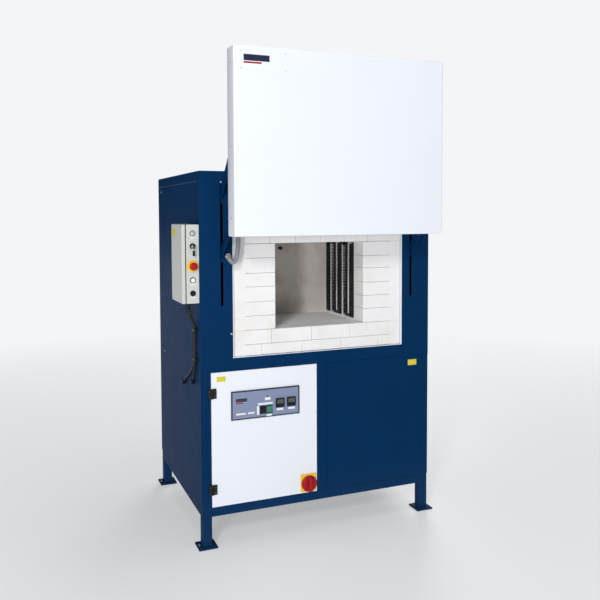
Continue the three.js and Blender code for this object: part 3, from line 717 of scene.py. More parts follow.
def make_door():
    low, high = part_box("door_casing")
    wall = 2 * MM
    corner = 7 * MM
    bm = bmesh.new()
    add_box(bm, low, high, 0)
    front = [e for e in bm.edges if any(abs(v.co.y - low.y) < 1e-6 for v in e.verts)]
    bmesh.ops.bevel(bm, geom=front, offset=corner, segments=5, profile=0.5, affect="EDGES",
            clamp_overlap=True)
    back = [f for f in bm.faces if all(abs(v.co.y - high.y) < 1e-6 for v in f.verts)]
    made = bmesh.ops.inset_region(bm, faces=back, thickness=22 * MM, depth=0)
    bmesh.ops.delete(bm, geom=back, context="FACES")
    shell = finish_piece("door_shell", bm, WHITE, "door")
    solid = shell.modifiers.new("sheet", "SOLIDIFY")
    solid.thickness = wall
    solid.offset = -1
    shell.modifiers.move(1, 0)
    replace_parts(shell, "door_casing")

    pin_y, pin_z = door_pins()
    for name, side in (("left", -1), ("right", 1)):
        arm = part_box(f"upper_arm_{name}")
        middle = (arm[0].x + arm[1].x) / 2
        bm = bmesh.new()
        inner = middle - side * 12 * MM
        add_box(bm, (min(inner, inner + side * 3 * MM), low.y + wall, pin_z[0] - 24 * MM),
                (max(inner, inner + side * 3 * MM), pin_y + 24 * MM, pin_z[1] + 24 * MM), 0.001)
        for z in pin_z:
            centre = Vector((middle, pin_y, z))
            add_lathe(bm, centre, Vector((side, 0, 0)), rounded_disc(10, -11, 9, 1), 28, 1)
            add_lathe(bm, centre, Vector((side, 0, 0)), ring_profile(9.9, 15, 4.4, 6.2, 0.4), 28, 1)
        finish_piece(f"door_pivots_{name}", bm, [BLUE, STEEL], "door")
    make_door_lining()
    make_badge(low, high)
    bm = bmesh.new()
    for z in (1706, 2048, 2450):
        for x, axis in ((low.x, LEFT), (high.x, -LEFT)):
            add_lathe(bm, Vector((x, (low.y + high.y) / 2 - 0.004, z * MM)), axis, screw_profile(5, 2.2),
                    20)
    finish_piece("door_side_screws", bm, STEEL, "door")


def door_pins():
    """Where the arms' ends meet the door: y, and both heights."""
    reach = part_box("upper_arm_left"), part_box("lower_arm_left")
    half_width = 22 * MM
    y = reach[0][0].y + half_width
    return y, (reach[1][1].z - half_width, reach[0][1].z - half_width)


def add_fibre_module(bm, low, high, folds, depth):
    """A folded blanket module: its face is a row of soft vertical pleats."""
    nx, nz = folds * 6, 10
    rows = []
    for j in range(nz + 1):
        z = low.z + (high.z - low.z) * j / nz
        row = []
        for i in range(nx + 1):
            x = low.x + (high.x - low.x) * i / nx
            wave = abs(math.sin(math.pi * folds * i / nx)) ** 0.6
            edge = min(1, 5 * j / nz, 5 * (nz - j) / nz)
            row.append(bm.verts.new((x, high.y - depth + depth * wave * (0.35 + 0.65 * edge), z)))
        rows.append(row)
    back = [[bm.verts.new((v.co.x, low.y, v.co.z)) for v in row] for row in rows]
    for j in range(nz):
        for i in range(nx):
            bm.faces.new((rows[j][i], rows[j][i + 1], rows[j + 1][i + 1], rows[j + 1][i]))
            bm.faces.new((back[j][i], back[j + 1][i], back[j + 1][i + 1], back[j][i + 1]))
    for i in range(nx):
        bm.faces.new((rows[0][i], back[0][i], back[0][i + 1], rows[0][i + 1]))
        bm.faces.new((rows[nz][i], rows[nz][i + 1], back[nz][i + 1], back[nz][i]))
    for j in range(nz):
        bm.faces.new((rows[j][0], rows[j + 1][0], back[j + 1][0], back[j][0]))
        bm.faces.new((rows[j][nx], back[j][nx], back[j + 1][nx], rows[j + 1][nx]))


def make_door_lining():
    low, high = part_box("door_insulation")
    bm = bmesh.new()
    columns, rows = 3, 2
    for i in range(columns):
        for j in range(rows):
            x0 = low.x + (high.x - low.x) * i / columns
            z0 = low.z + (high.z - low.z) * j / rows
            add_fibre_module(bm, Vector((x0 + 0.0008, low.y, z0 + 0.0008)),
                             Vector((x0 + (high.x - low.x) / columns - 0.0008, high.y,
                                     z0 + (high.z - low.z) / rows - 0.0008)),
                             10, 4 * MM)
    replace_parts(finish_piece("door_fibre", bm, FIBRE, "door"), "door_insulation")
    keep_node("door_plug", FIBRE, 0.005, 3)


def make_badge(low, high):
    """A blank white name plate with four screws and a plain navy bar over a red rule."""
    x0, x1 = low.x + 29 * MM, low.x + 270 * MM
    z1 = high.z - 22 * MM
    z0 = z1 - 96 * MM
    bm = bmesh.new()
    add_box(bm, (x0, low.y - 1.4 * MM, z0), (x1, low.y + 0.5 * MM, z1), 0.0006)
    finish_piece("name_plate", bm, WHITE, "door")
    bm = bmesh.new()
    add_box(bm, (x0 + 20 * MM, low.y - 2.0 * MM, z0 + 44 * MM),
            (x0 + 150 * MM, low.y - 1.2 * MM, z0 + 74 * MM), 0.0004)
    finish_piece("name_plate_bar", bm, NAVY, "door")
    bm = bmesh.new()
    add_box(bm, (x0 + 20 * MM, low.y - 2.0 * MM, z0 + 32 * MM),
            (x0 + 110 * MM, low.y - 1.2 * MM, z0 + 40 * MM), 0.0004)
    finish_piece("name_plate_rule", bm, RED, "door")
    bm = bmesh.new()
    for x in (x0 + 8 * MM, x1 - 8 * MM):
        for z in (z0 + 8 * MM, z1 - 8 * MM):
            add_lathe(bm, Vector((x, low.y - 1.4 * MM, z)), FRONT, screw_profile(3.2, 1.4), 16)
    finish_piece("name_plate_screws", bm, STEEL, "door")


# ---------------------------------------------------------------- lift

def make_lift_details():
    y = (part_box("torque_shaft")[0].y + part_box("torque_shaft")[1].y) / 2
    upper_z = (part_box("torque_shaft")[0].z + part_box("torque_shaft")[1].z) / 2
    lower_z = upper_z - 310 * MM
    for name, side in (("left", -1), ("right", 1)):
        arm_low, arm_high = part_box(f"upper_arm_{name}")
        inner = arm_low.x if side > 0 else arm_high.x
        axis = Vector((-side, 0, 0))
        bm = bmesh.new()
        add_lathe(bm, Vector((inner, y, upper_z)), axis, ring_profile(18.1, 29, -0.2, 10, 1.5), 36)
        finish_piece(f"arm_hub_{name}", bm, BLUE, "lift_arms")
        bm = bmesh.new()
        add_lathe(bm, Vector((inner, y, lower_z)), axis, ring_profile(12.1, 20, 0.6, 3, 0.5), 28)
        finish_piece(f"pivot_washer_{name}", bm, STEEL, "root")


def make_conduit():
    """A ribbed grey conduit in a loop between two plated glands."""
    glands = [place(-528, 0, 1512), place(-483, 0, 1804)]
    route = [(-528, -2.5, 1512), (-528, -22, 1510), (-526, -44, 1494), (-512, -46, 1483), (-495, -46, 1500),
             (-487, -46, 1545), (-483, -46, 1600), (-483, -46, 1690), (-483, -44, 1762), (-483, -22, 1802),
             (-483, -2.5, 1804)]
    path = smooth_path([place(*p) for p in route], 1.1 * MM)
    bm = bmesh.new()
    add_tube(bm, path, lambda i: (12.6 if i % 5 in (1, 2, 3) else 11.2) * MM, 20)
    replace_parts(finish_piece("ribbed_conduit", bm, HOSE, "root"), "conduit")
    bm = bmesh.new()
    for centre in glands:
        add_hex(bm, centre, FRONT, 30, 0, 7)
        add_lathe(bm, centre, FRONT, ring_profile(12.7, 15.5, 6.5, 12, 1.2), 32)
        add_hex(bm, centre, FRONT, 29, 12, 21)
    finish_piece("conduit_glands", bm, STEEL, "root")


# ---------------------------------------------------------------- control station

def make_station():
    low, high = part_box("station_base")
    seam = 1.8 * MM
    for name, node, edge in (("station_box", "station_base", 3.5), ("station_cover", "station_lid", 4.0)):
        a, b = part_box(node)
        if node == "station_lid":
            b.x -= seam
        bm = bmesh.new()
        add_box(bm, a, b, edge * MM, 4)
        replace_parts(finish_piece(name, bm, STATION, "root"), node)
    lid_low, lid_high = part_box("station_lid")
    bm = bmesh.new()
    inset = 0.9 * MM
    add_box(bm, (lid_high.x - 2 * seam, low.y + inset, low.z + inset),
            (low.x + seam, high.y - inset, high.z - inset), 0.0004)
    finish_piece("station_gasket", bm, RUBBER, "root")
    bm = bmesh.new()
    for y in (lid_low.y + 12 * MM, lid_high.y - 12 * MM):
        for z in (lid_low.z + 12 * MM, lid_high.z - 12 * MM):
            add_lathe(bm, Vector((lid_low.x, y, z)), LEFT, screw_profile(4.5, 1.6), 20)
    finish_piece("station_screws", bm, STEEL, "root")
    bm = bmesh.new()
    add_box(bm, (lid_low.x - 0.6 * MM, lid_high.y - 108 * MM, lid_high.z - 59 * MM),
            (lid_low.x + 0.2 * MM, lid_high.y - 28 * MM, lid_high.z - 26 * MM), 0.0003)
    finish_piece("station_notice", bm, STICKER, "root")
    make_devices(low)


def make_devices(low):
    def centre(node):
        a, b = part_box(node)
        return Vector(((a.x + b.x) / 2, low.y, (a.z + b.z) / 2))

    lamp = centre("raise_button") + Vector((0, 0, 237 * MM))
    bm = bmesh.new()
    add_lathe(bm, lamp, FRONT, ring_profile(10.6, 14.8, -0.3, 3.4, 1.0), 40)
    finish_piece("lamp_bezel", bm, HOSE, "root")
    bm = bmesh.new()
    dome = [(0, -0.5), (10.4, -0.5), (10.4, 3.0)]
    dome += [(10.4 * math.cos(t), 3.0 + 4.2 * math.sin(t)) for t in [math.pi / 2 * i / 6 for i in range(1,
            6)]] + [(0, 7.2)]
    add_lathe(bm, lamp, FRONT, dome, 40)
    finish_piece("lamp_lens", bm, LENS, "root")

    for name, node, material, slot in (("raise", "raise_button", PALE, "white_plastic"),
                                       ("lower", "lower_button", BLACK, "black_plastic")):
        where = centre(node)
        bm = bmesh.new()
        add_lathe(bm, where, FRONT, ring_profile(11.3, 14.8, -0.3, 3.2, 1.0), 40)
        finish_piece(f"{name}_bezel", bm, BLACK, "root")
        bm = bmesh.new()
        cap = [(0, -20), (10.9, -20), (10.9, 6.0), (10.2, 7.0), (8.5, 7.0), (0, 6.2)]
        add_lathe(bm, where, FRONT, cap, 40)
        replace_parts(finish_piece(f"{name}_cap", bm, material, node), node)

    where = centre("estop_button")
    bm = bmesh.new()
    add_lathe(bm, where, FRONT, ring_profile(11.5, 30, -0.3, 2.6, 0.9), 48)
    finish_piece("estop_collar", bm, YELLOW, "root")
    bm = bmesh.new()
    head = [(0, -20), (10, -20), (10, 14), (17.5, 14.5), (20, 17), (20, 24)]
    head += [(20 * math.cos(t), 24 + 6 * math.sin(t)) for t in [math.pi / 2 * i / 7 for i in range(1,
            7)]] + [(0, 30)]
    add_lathe(bm, where, FRONT, head, 48)
    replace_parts(finish_piece("estop_mushroom", bm, RED, "estop"), "estop_button")

    where = centre("station_key")
    bm = bmesh.new()
    add_lathe(bm, where, FRONT, ring_profile(9.4, 15, -0.3, 5.5, 1.4), 40)
    finish_piece("key_bezel", bm, BLACK, "root")
    bm = bmesh.new()
    add_lathe(bm, where, FRONT, rounded_disc(9, -20, 7.5, 1), 32, 1)
    add_box(bm, where + Vector((-1.1, -20, -3.4)) * MM, where + Vector((1.1, -7, 3.4)) * MM, 0.0003, 1, 1)
    head_centre = where + Vector((0, -26, 0)) * MM
    add_lathe(bm, head_centre - Vector((1.5 * MM, 0, 0)), Vector((1, 0, 0)),
            ring_profile(4.4, 12, 0, 3, 0.6), 32)
    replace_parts(finish_piece("key_with_head", bm, [BLACK, CHROME], "key"), "station_key")
    bm = bmesh.new()
    ring_centre = head_centre + Vector((0, 0, -9)) * MM
    loop = [ring_centre + Vector((9.5 * math.sin(t), 0,
            9.5 * math.cos(t))) * MM for t in [2 * math.pi * i / 28 for i in range(28)]]
    add_ring(bm, loop, 0.7 * MM)
    finish_piece("key_ring", bm, CHROME, "key")
    bm = bmesh.new()
    tag = ring_centre + Vector((0, 0, -9.5)) * MM
    add_box(bm, tag + Vector((-6, -1, -30)) * MM, tag + Vector((6, 1, -3)) * MM, 0.0008)
    finish_piece("key_tag", bm, BLACK, "key")

    bm = bmesh.new()
    for node, drop in (("raise_button", 21), ("lower_button", 21), ("raise_button", -215)):
        spot = centre(node) - Vector((0, 0, drop * MM))
        add_box(bm, spot + Vector((-11, -0.5, -2.5)) * MM, spot + Vector((11, 0.2, 2.5)) * MM, 0.0002, 1)
    finish_piece("station_labels", bm, LABEL, "root")


def add_ring(bm, loop, radius, sides=8):
    """A closed ring of wire through the points of loop."""
    centre = sum(loop, Vector()) / len(loop)
    rings = []
    for i, point in enumerate(loop):
        tangent = (loop[(i + 1) % len(loop)] - loop[i - 1]).normalized()
        outward = (point - centre).normalized()
        side = tangent.cross(outward)
        rings.append([bm.verts.new(point + radius * (math.cos(2 * math.pi * k / sides) * outward
                                                     + math.sin(2 * math.pi * k / sides) * side)) for k in range(sides)])
    for i, ring in enumerate(rings):
        after = rings[(i + 1) % len(rings)]
        for k in range(sides):
            bm.faces.new((ring[k], ring[(k + 1) % sides], after[(k + 1) % sides], after[k]))


def make_cables():
    """The two station cables with their glands, clips and elbow entries."""
    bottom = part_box("station_base")[0].z / MM
    x = -682.0
    station_x = -(673.4 + 34)
    high, low = 1130, 975
    routes = {
        "cable_rear": [(station_x, 140, bottom), (station_x, 138, bottom - 35),
                (station_x + 10, 122, bottom - 85),
                       (x, 100, high + 12), (x, 95, high - 50), (x, 95, low + 20), (x, 112, low - 35),
                       (x, 200, low - 95), (x, 300, 832), (x, 352, 802)],
        "cable_front": [(station_x, 100, bottom), (station_x, 100, bottom - 35),
                (station_x + 10, 94, bottom - 85),
                        (x, 80, high + 12), (x, 78, high - 50), (x, 78, low + 20), (x, 84, low - 35),
                        (x, 118, 876), (x, 145, 847)],
    }
    for node, route in routes.items():
        path = smooth_path([place(*p) for p in route], 6 * MM)
        bm = bmesh.new()
        add_tube(bm, path, lambda i: 6 * MM, 16)
        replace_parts(finish_piece(f"{node}_sheath", bm, RUBBER, "root"), node)
        entry = Vector(path[-1])
        bm = bmesh.new()
        start = Vector(path[0])
        add_hex(bm, start, DOWN, 22, 0, 6)
        add_lathe(bm, start, DOWN, ring_profile(6.2, 10, 5.5, 17, 2.0), 28)
        direction = (path[-1] - path[-3]).normalized()
        add_lathe(bm, entry - direction * 4 * MM, direction, ring_profile(6.2, 10, -6, 12, 1.6), 28)
        panel = Vector((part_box("side_panel_left")[0].x, entry.y, entry.z)) + Vector((0, direction.y,
                direction.z)) * 8 * MM
        add_hex(bm, panel, LEFT, 24, 0, 5)
        add_lathe(bm, panel, LEFT, rounded_disc(11.5, 4.5, 19, 5), 28)
        finish_piece(f"{node}_glands", bm, BLACK, "root")
    bm = bmesh.new()
    side_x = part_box("side_panel_left")[0].x
    for z in (high - 2, low - 2):
        centre = place(0, 87, z)
        add_box(bm, (side_x - 17 * MM, centre.y - 24 * MM, centre.z - 6 * MM),
                (side_x - 15.4 * MM, centre.y + 20 * MM, centre.z + 6 * MM), 0.0006)
        add_box(bm, (side_x - 17 * MM, centre.y - 26 * MM, centre.z - 6 * MM),
                (side_x, centre.y - 23.5 * MM, centre.z + 6 * MM), 0.0006)
        add_box(bm, (side_x - 17 * MM, centre.y + 19 * MM, centre.z - 6 * MM),
                (side_x, centre.y + 21.5 * MM, centre.z + 6 * MM), 0.0006)
        add_box(bm, (side_x - 2 * MM, centre.y - 44 * MM, centre.z - 6 * MM),
                (side_x - 0.2 * MM, centre.y - 24 * MM, centre.z + 6 * MM), 0.0006)
        add_lathe(bm, Vector((side_x - 2 * MM, centre.y - 35 * MM, centre.z)), LEFT,
                screw_profile(4.5, 2.2), 20)
    finish_piece("cable_clips", bm, BLACK, "root")


# ---------------------------------------------------------------- control door

def make_control_pan():
    """The control door as a folded pan: a front skin, four side walls and a narrow return flange."""
    low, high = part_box("control_door_panel")
    rockers = [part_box(f"rocker_{side}") for side in ("left", "right")]
    sheet, fold, clear = 1.5 * MM, 16 * MM, 1.5 * MM
    xs = sorted([low.x, high.x] + [v for a, b in rockers for v in (a.x - clear, b.x + clear)])
    zs = [low.z, min(a.z for a, b in rockers) - clear, max(b.z for a, b in rockers) + clear, high.z]

    def is_open(x, z):
        return zs[1] < z < zs[2] and any(a.x - clear < x < b.x + clear for a, b in rockers)

    bm = bmesh.new()
    add_sheet(bm, xs, zs, low.y + 0.3 * MM, low.y + sheet, is_open)
    add_sheet(bm, [low.x + sheet / 2, low.x + fold, high.x - fold, high.x - sheet / 2],
              [low.z + sheet / 2, low.z + fold, high.z - fold, high.z - sheet / 2],
              high.y - sheet, high.y - 0.1 * MM,
              lambda x, z: low.x + fold < x < high.x - fold and low.z + fold < z < high.z - fold)
    for x in (low.x, high.x - sheet):
        add_box(bm, (x, low.y, low.z), (x + sheet, high.y, high.z), 0.0007, 3)
    for z in (low.z, high.z - sheet):
        add_box(bm, (low.x, low.y, z), (high.x, high.y, z + sheet), 0.0007, 3)
    pan = finish_piece("control_door_pan", bm, WHITE, "control_door", smooth=False)
    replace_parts(pan, "control_door_panel")


def make_control_door():
    make_control_pan()
    low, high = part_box("control_fascia")
    keep_node("control_fascia", NAVY, 0.0006)
    rockers = [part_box(f"rocker_{side}") for side in ("left", "right")]
    face = low.y
    border = 7 * MM
    xs = sorted([low.x + border, high.x - border] + [v for a,
            b in rockers for v in (a.x - 0.003, b.x + 0.003)])
    window_low = min(a.z for a, b in rockers) - 0.004
    window_high = max(b.z for a, b in rockers) + 0.004
    zs = [low.z + border, window_low, window_high, high.z - border]

    def is_open(x, z):
        return window_low < z < window_high and any(a.x - 0.003 < x < b.x + 0.003 for a, b in rockers)

    bm = bmesh.new()
    add_sheet(bm, xs, zs, face - 0.5 * MM, face + 0.1 * MM, is_open)
    finish_piece("fascia_film", bm, SLATE, "control_door", smooth=False)

    bm = bmesh.new()
    for a, b in rockers:
        outer_low, outer_high = Vector((a.x - 0.0028, face - 0.0016,
                window_low + 0.0002)), Vector((b.x + 0.0028, face + 0.0006, window_high - 0.0002))
        add_box(bm, outer_low, (a.x - 0.0004, outer_high.y, outer_high.z), 0.0004)
        add_box(bm, (b.x + 0.0004, outer_low.y, outer_low.z), outer_high, 0.0004)
        add_box(bm, (a.x - 0.0004, outer_low.y, outer_low.z), (b.x + 0.0004, outer_high.y, a.z - 0.0006),
                0.0004)
        add_box(bm, (a.x - 0.0004, outer_low.y, b.z + 0.0006), (b.x + 0.0004, outer_high.y, outer_high.z),
                0.0004)
    finish_piece("rocker_frames", bm, BLACK, "control_door")

    make_controllers(face)
    make_fascia_print(low, high, face, rockers)
    make_isolator()
    make_door_hardware()


def make_controllers(face):
    """Two 48 mm temperature controllers: bezel, dark screen with dim segments, and four keys."""
    half = 25 * MM
    for name, x, z in (("left", -247, 725), ("right", -183, 726)):
        centre = place(x, 0, z)
        c = Vector((centre.x, face, centre.z))
        bm = bmesh.new()
        add_box(bm, c + Vector((-half, -7 * MM, -half)), c + Vector((half, 0.4 * MM, half)), 0.0022, 3)
        add_box(bm, c + Vector((-20, -7.6, -4)) * MM, c + Vector((20, -6.8, 19)) * MM, 0.0005, 1, 1)
        for row, (low, high) in enumerate(((9, 16.5), (0, 5.5))):
            for digit in range(4):
                x0 = -15 + digit * 8
                add_digit(bm, c + Vector((x0, -7.7, low)) * MM, 5.2 if row == 0 else 4.0, high - low, 2)
        for key in range(4):
            x0 = -17.5 + key * 9.6
            add_box(bm, c + Vector((x0, -8.4, -18)) * MM, c + Vector((x0 + 6.6, -6.9, -12)) * MM, 0.0006,
                    2, 3)
        finish_piece(f"controller_{name}", bm, [BLACK, SCREEN, DIGITS, RUBBER], "control_door")


def add_digit(bm, corner, width, height, material):
    """A seven-segment zero with its middle bar dark."""
    bar = 0.8
    spans = [((0, 0), (bar, height)), ((width - bar, 0), (width, height)),
             ((bar, 0), (width - bar, bar)), ((bar, height - bar), (width - bar, height))]
    for (x0, z0), (x1, z1) in spans:
        add_box(bm, corner + Vector((x0, 0, z0)) * MM, corner + Vector((x1, 0.3, z1)) * MM, 0, 1, material)


def make_fascia_print(low, high, face, rockers):
    bm = bmesh.new()
    (a, b), (c, d) = rockers
    blocks = [
        ((b.x + c.x) / 2 - 0.045, b.z + 0.009, 0.082, 0.010),
        ((c.x + d.x) / 2 - 0.015, c.z - 0.018, 0.028, 0.010),
        (a.x - 0.019, a.z - 0.006, 0.013, 0.046),
        ((c.x + d.x) / 2 - 0.024, d.z + 0.032, 0.030, 0.014),
        (place(-265, 0, 0).x, 0.684, 0.036, 0.012),
        (place(-200, 0, 0).x, 0.684, 0.038, 0.011),
        (low.x + 0.026, low.z + 0.026, 0.052, 0.009),
        (low.x + 0.090, low.z + 0.027, 0.036, 0.008),
    ]
    for x, z, width, height in blocks:
        add_box(bm, (x, face - 0.9 * MM, z), (x + width, face - 0.4 * MM, z + height), 0.0002, 1)
    finish_piece("fascia_labels", bm, LABEL, "control_door")
    bm = bmesh.new()
    add_box(bm, (low.x + 0.024, face - 0.9 * MM, high.z - 0.058),
            (low.x + 0.086, face - 0.4 * MM, high.z - 0.040), 0.0003, 1)
    finish_piece("fascia_mark_bar", bm, NAVY, "control_door")
    bm = bmesh.new()
    add_box(bm, (low.x + 0.024, face - 0.9 * MM, high.z - 0.067),
            (low.x + 0.062, face - 0.4 * MM, high.z - 0.061), 0.0003, 1)
    finish_piece("fascia_mark_rule", bm, RED, "control_door")
    bm = bmesh.new()
    lamp = Vector(((c.x + d.x) / 2 - 0.008, face - 0.4 * MM, d.z + 0.052))
    add_lathe(bm, lamp, FRONT, [(0, 0), (3.4, 0), (3.4, 1.0), (2.2, 2.4), (0, 2.9)], 20)
    finish_piece("fascia_lamp", bm, BLACK, "control_door")


def make_isolator():
    low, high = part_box("isolator_knob")
    centre = Vector(((low.x + high.x) / 2, 0, (low.z + high.z) / 2))
    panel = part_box("control_door_panel")[0].y
    bm = bmesh.new()
    add_box(bm, (centre.x - 48 * MM, panel - 4.6 * MM, centre.z - 45 * MM),
            (centre.x + 43 * MM, panel - 0.1 * MM, centre.z + 53 * MM), 0.003, 3)
    finish_piece("isolator_plate", bm, YELLOW, "control_door")
    base = Vector((centre.x, high.y, centre.z))
    bm = bmesh.new()
    add_lathe(bm, base, FRONT, [(0, 0), (44, 0), (44, 6.5), (42.5, 9), (38, 11.4), (30, 12), (0, 12)], 64)
    grip_low = base + Vector((-10.5, -31.6, -38)) * MM
    grip_high = base + Vector((10.5, -10, 38)) * MM
    add_box(bm, grip_low, grip_high, 0.0055, 4)
    for i in range(24):
        turn = 2 * math.pi * i / 24
        spot = base + Vector((42.6 * math.sin(turn), -5, 42.6 * math.cos(turn))) * MM
        add_lathe(bm, spot, FRONT, [(0, -4.6), (1.8, -4.6), (1.8, 3.4), (0, 4.0)], 8)
    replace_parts(finish_piece("isolator_grip", bm, RED, "isolator"), "isolator_knob")


def make_door_hardware():
    panel_low, panel_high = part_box("control_door_panel")
    for name in ("upper", "lower"):
        low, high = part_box(f"hinge_{name}")
        bm = bmesh.new()
        start = panel_low.x + 6.5 * MM
        add_box(bm, (start, panel_low.y - 6.5 * MM, low.z),
                (high.x + 17 * MM, panel_low.y - 0.15 * MM, high.z), 0.0014, 3)
        for z in (low.z + 13 * MM, high.z - 13 * MM):
            add_lathe(bm, Vector((start + 12 * MM, panel_low.y - 6.5 * MM, z)), FRONT,
                    screw_profile(4.6, 1.6), 20, 1)
        finish_piece(f"hinge_leaf_{name}", bm, [BLACK, IRON], "control_door")
        bm = bmesh.new()
        for z in (low.z + 13 * MM, high.z - 13 * MM):
            add_lathe(bm, Vector((low.x + 7 * MM, low.y + 8 * MM, z)), FRONT, screw_profile(4.4, 1.4), 20)
        finish_piece(f"hinge_screws_{name}", bm, IRON, "root")
    bm = bmesh.new()
    add_box(bm, (panel_low.x + 29 * MM, panel_low.y - 0.6 * MM, panel_high.z - 49 * MM),
            (panel_low.x + 76 * MM, panel_low.y + 0.1 * MM, panel_high.z - 22 * MM), 0.0002, 1)
    finish_piece("door_notice", bm, STICKER, "control_door")
    access_low, access_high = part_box("access_panel")
    bm = bmesh.new()
    add_box(bm, (access_high.x - 80 * MM, access_low.y - 0.6 * MM, access_high.z - 56 * MM),
            (access_high.x - 24 * MM, access_low.y + 0.1 * MM, access_high.z - 24 * MM), 0.0002, 1)
    finish_piece("access_notice", bm, STICKER, "root")


# ---------------------------------------------------------------- control bay

BAY_DEPTH = 190 * MM


def make_bay():
    """Behind the control door: a base tray and a back plate with contactors, fuses and terminals."""
    door_low, door_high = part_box("control_door_panel")
    left, right = door_low.x + 14 * MM, door_high.x - 10 * MM
    bottom, top = door_low.z + 6 * MM, door_high.z - 14 * MM
    plate_y = door_high.y + BAY_DEPTH
    bm = bmesh.new()
    add_box(bm, (left, plate_y, bottom), (right, plate_y + 2 * MM, top), 0.0006)
    add_box(bm, (left, door_high.y + 24 * MM, bottom), (right, plate_y, bottom + 2 * MM), 0.0006)
    finish_piece("bay_back_plate", bm, PLATE, "root")

    rails = [top - 130 * MM, top - 330 * MM, top - 520 * MM]
    bm = bmesh.new()
    for z in rails:
        for drop in (-17.5, 12.5):
            add_box(bm, (left + 60 * MM, plate_y - 7.5 * MM, z + drop * MM),
                    (right - 60 * MM, plate_y - 6.3 * MM, z + (drop + 5) * MM), 0.0002, 1)
        add_box(bm, (left + 60 * MM, plate_y - 1.2 * MM, z - 12.5 * MM),
                (right - 60 * MM, plate_y - 0.1 * MM, z + 12.5 * MM), 0)
    finish_piece("bay_rails", bm, STEEL, "root")

    bm = bmesh.new()
    for z in [r - 88 * MM for r in rails] + [top - 42 * MM]:
        add_box(bm, (left + 20 * MM, plate_y - 40 * MM, z - 20 * MM),
                (right - 20 * MM, plate_y - 0.2 * MM, z + 20 * MM), 0.001)
    for x in (left + 20 * MM, right - 50 * MM):
        add_box(bm, (x, plate_y - 39 * MM, bottom + 60 * MM),
                (x + 30 * MM, plate_y - 0.2 * MM, top - 22 * MM), 0.001)
    finish_piece("bay_trunking", bm, STATION, "root")

    bm = bmesh.new()
    for i in range(4):
        add_contactor(bm, Vector((left + (110 + 82 * i) * MM, plate_y - 7.6 * MM, rails[0])), 45, 82, 80)
    for i in range(9):
        add_contactor(bm, Vector((left + (90 + 18.5 * i) * MM, plate_y - 7.6 * MM, rails[1])), 17.5, 84, 62)
    finish_piece("bay_contactors", bm, [BLACK, LABEL, STEEL], "root")

    bm = bmesh.new()
    for i in range(24):
        x = left + (90 + 12.5 * i) * MM
        add_box(bm, (x, plate_y - 45 * MM, rails[2] - 25 * MM),
                (x + 12 * MM, plate_y - 7.6 * MM, rails[2] + 25 * MM), 0.001, 1)
        for z in (-16, 16):
            add_lathe(bm, Vector((x + 6 * MM, plate_y - 45 * MM, rails[2] + z * MM)), FRONT,
                    screw_profile(3.6, 1.2), 10, 1)
    finish_piece("bay_terminals", bm, [LABEL, STEEL], "root")


def add_contactor(bm, foot, width, height, depth):
    """A moulded block on a rail: a wide body, a narrower nose, terminal screws and a blank label."""
    half, tall = width / 2, height / 2
    add_box(bm, foot + Vector((-half, -depth * 0.62, -tall)) * MM, foot + Vector((half, 0, tall)) * MM,
            0.0012)
    add_box(bm, foot + Vector((-half, -depth, -tall * 0.55)) * MM,
            foot + Vector((half, -depth * 0.6, tall * 0.55)) * MM, 0.0012)
    add_box(bm, foot + Vector((-half * 0.7, -depth - 0.4, -3)) * MM,
            foot + Vector((half * 0.7, -depth + 0.4, 6)) * MM, 0.0002, 1, 1)
    count = max(1, int(width // 14))
    for i in range(count):
        x = (i + 0.5) * width / count - half
        for z in (-tall * 0.78, tall * 0.78):
            add_lathe(bm, foot + Vector((x, -depth * 0.62, z)) * MM, FRONT, screw_profile(3.8, 1.0), 12, 2)


# ---------------------------------------------------------------- stage

def make_stage():
    floor_size = 60.0
    bm = bmesh.new()
    bmesh.ops.create_grid(bm, x_segments=1, y_segments=1, size=floor_size / 2)
    mesh = bpy.data.meshes.new("floor")
    bm.to_mesh(mesh)
    bm.free()
    floor = bpy.data.objects.new("floor", mesh)
    bpy.context.scene.collection.objects.link(floor)
    # The floor glows with the world colour: 42 % within 1.2 m of the centre, which paints light into the
    # kiln's shadows, rising to full glow at 6.5 m to meet the backdrop.
    s = Shader("pale_floor_painted_glow", 0.5)
    s.principled.inputs["Base Color"].default_value = (0.86, 0.87, 0.88, 1)
    length = s.tree.nodes.new("ShaderNodeVectorMath")
    length.operation = "LENGTH"
    s.link(s.coords, length.inputs[0])
    glow = s.tree.nodes.new("ShaderNodeEmission")
    glow.inputs["Color"].default_value = WORLD_COLOUR
    glow.inputs["Strength"].default_value = WORLD_STRENGTH
    blend = s.tree.nodes.new("ShaderNodeMixShader")
    output = s.tree.nodes["Material Output"]
    s.link(s.span(length.outputs["Value"], 1.2, 6.5, 0.42, 1.0), blend.inputs["Fac"])
    s.link(s.principled.outputs[0], blend.inputs[1])
    s.link(glow.outputs[0], blend.inputs[2])
    s.link(blend.outputs[0], output.inputs["Surface"])
    floor.data.materials.append(s.material)


WORLD_COLOUR = (0.93, 0.94, 0.96, 1)
WORLD_STRENGTH = 0.97
AMBIENT_LOW = 0.04
AMBIENT_HIGH = 0.22
BRIGHT_SIDE = (0.35, -0.72, 0.60)


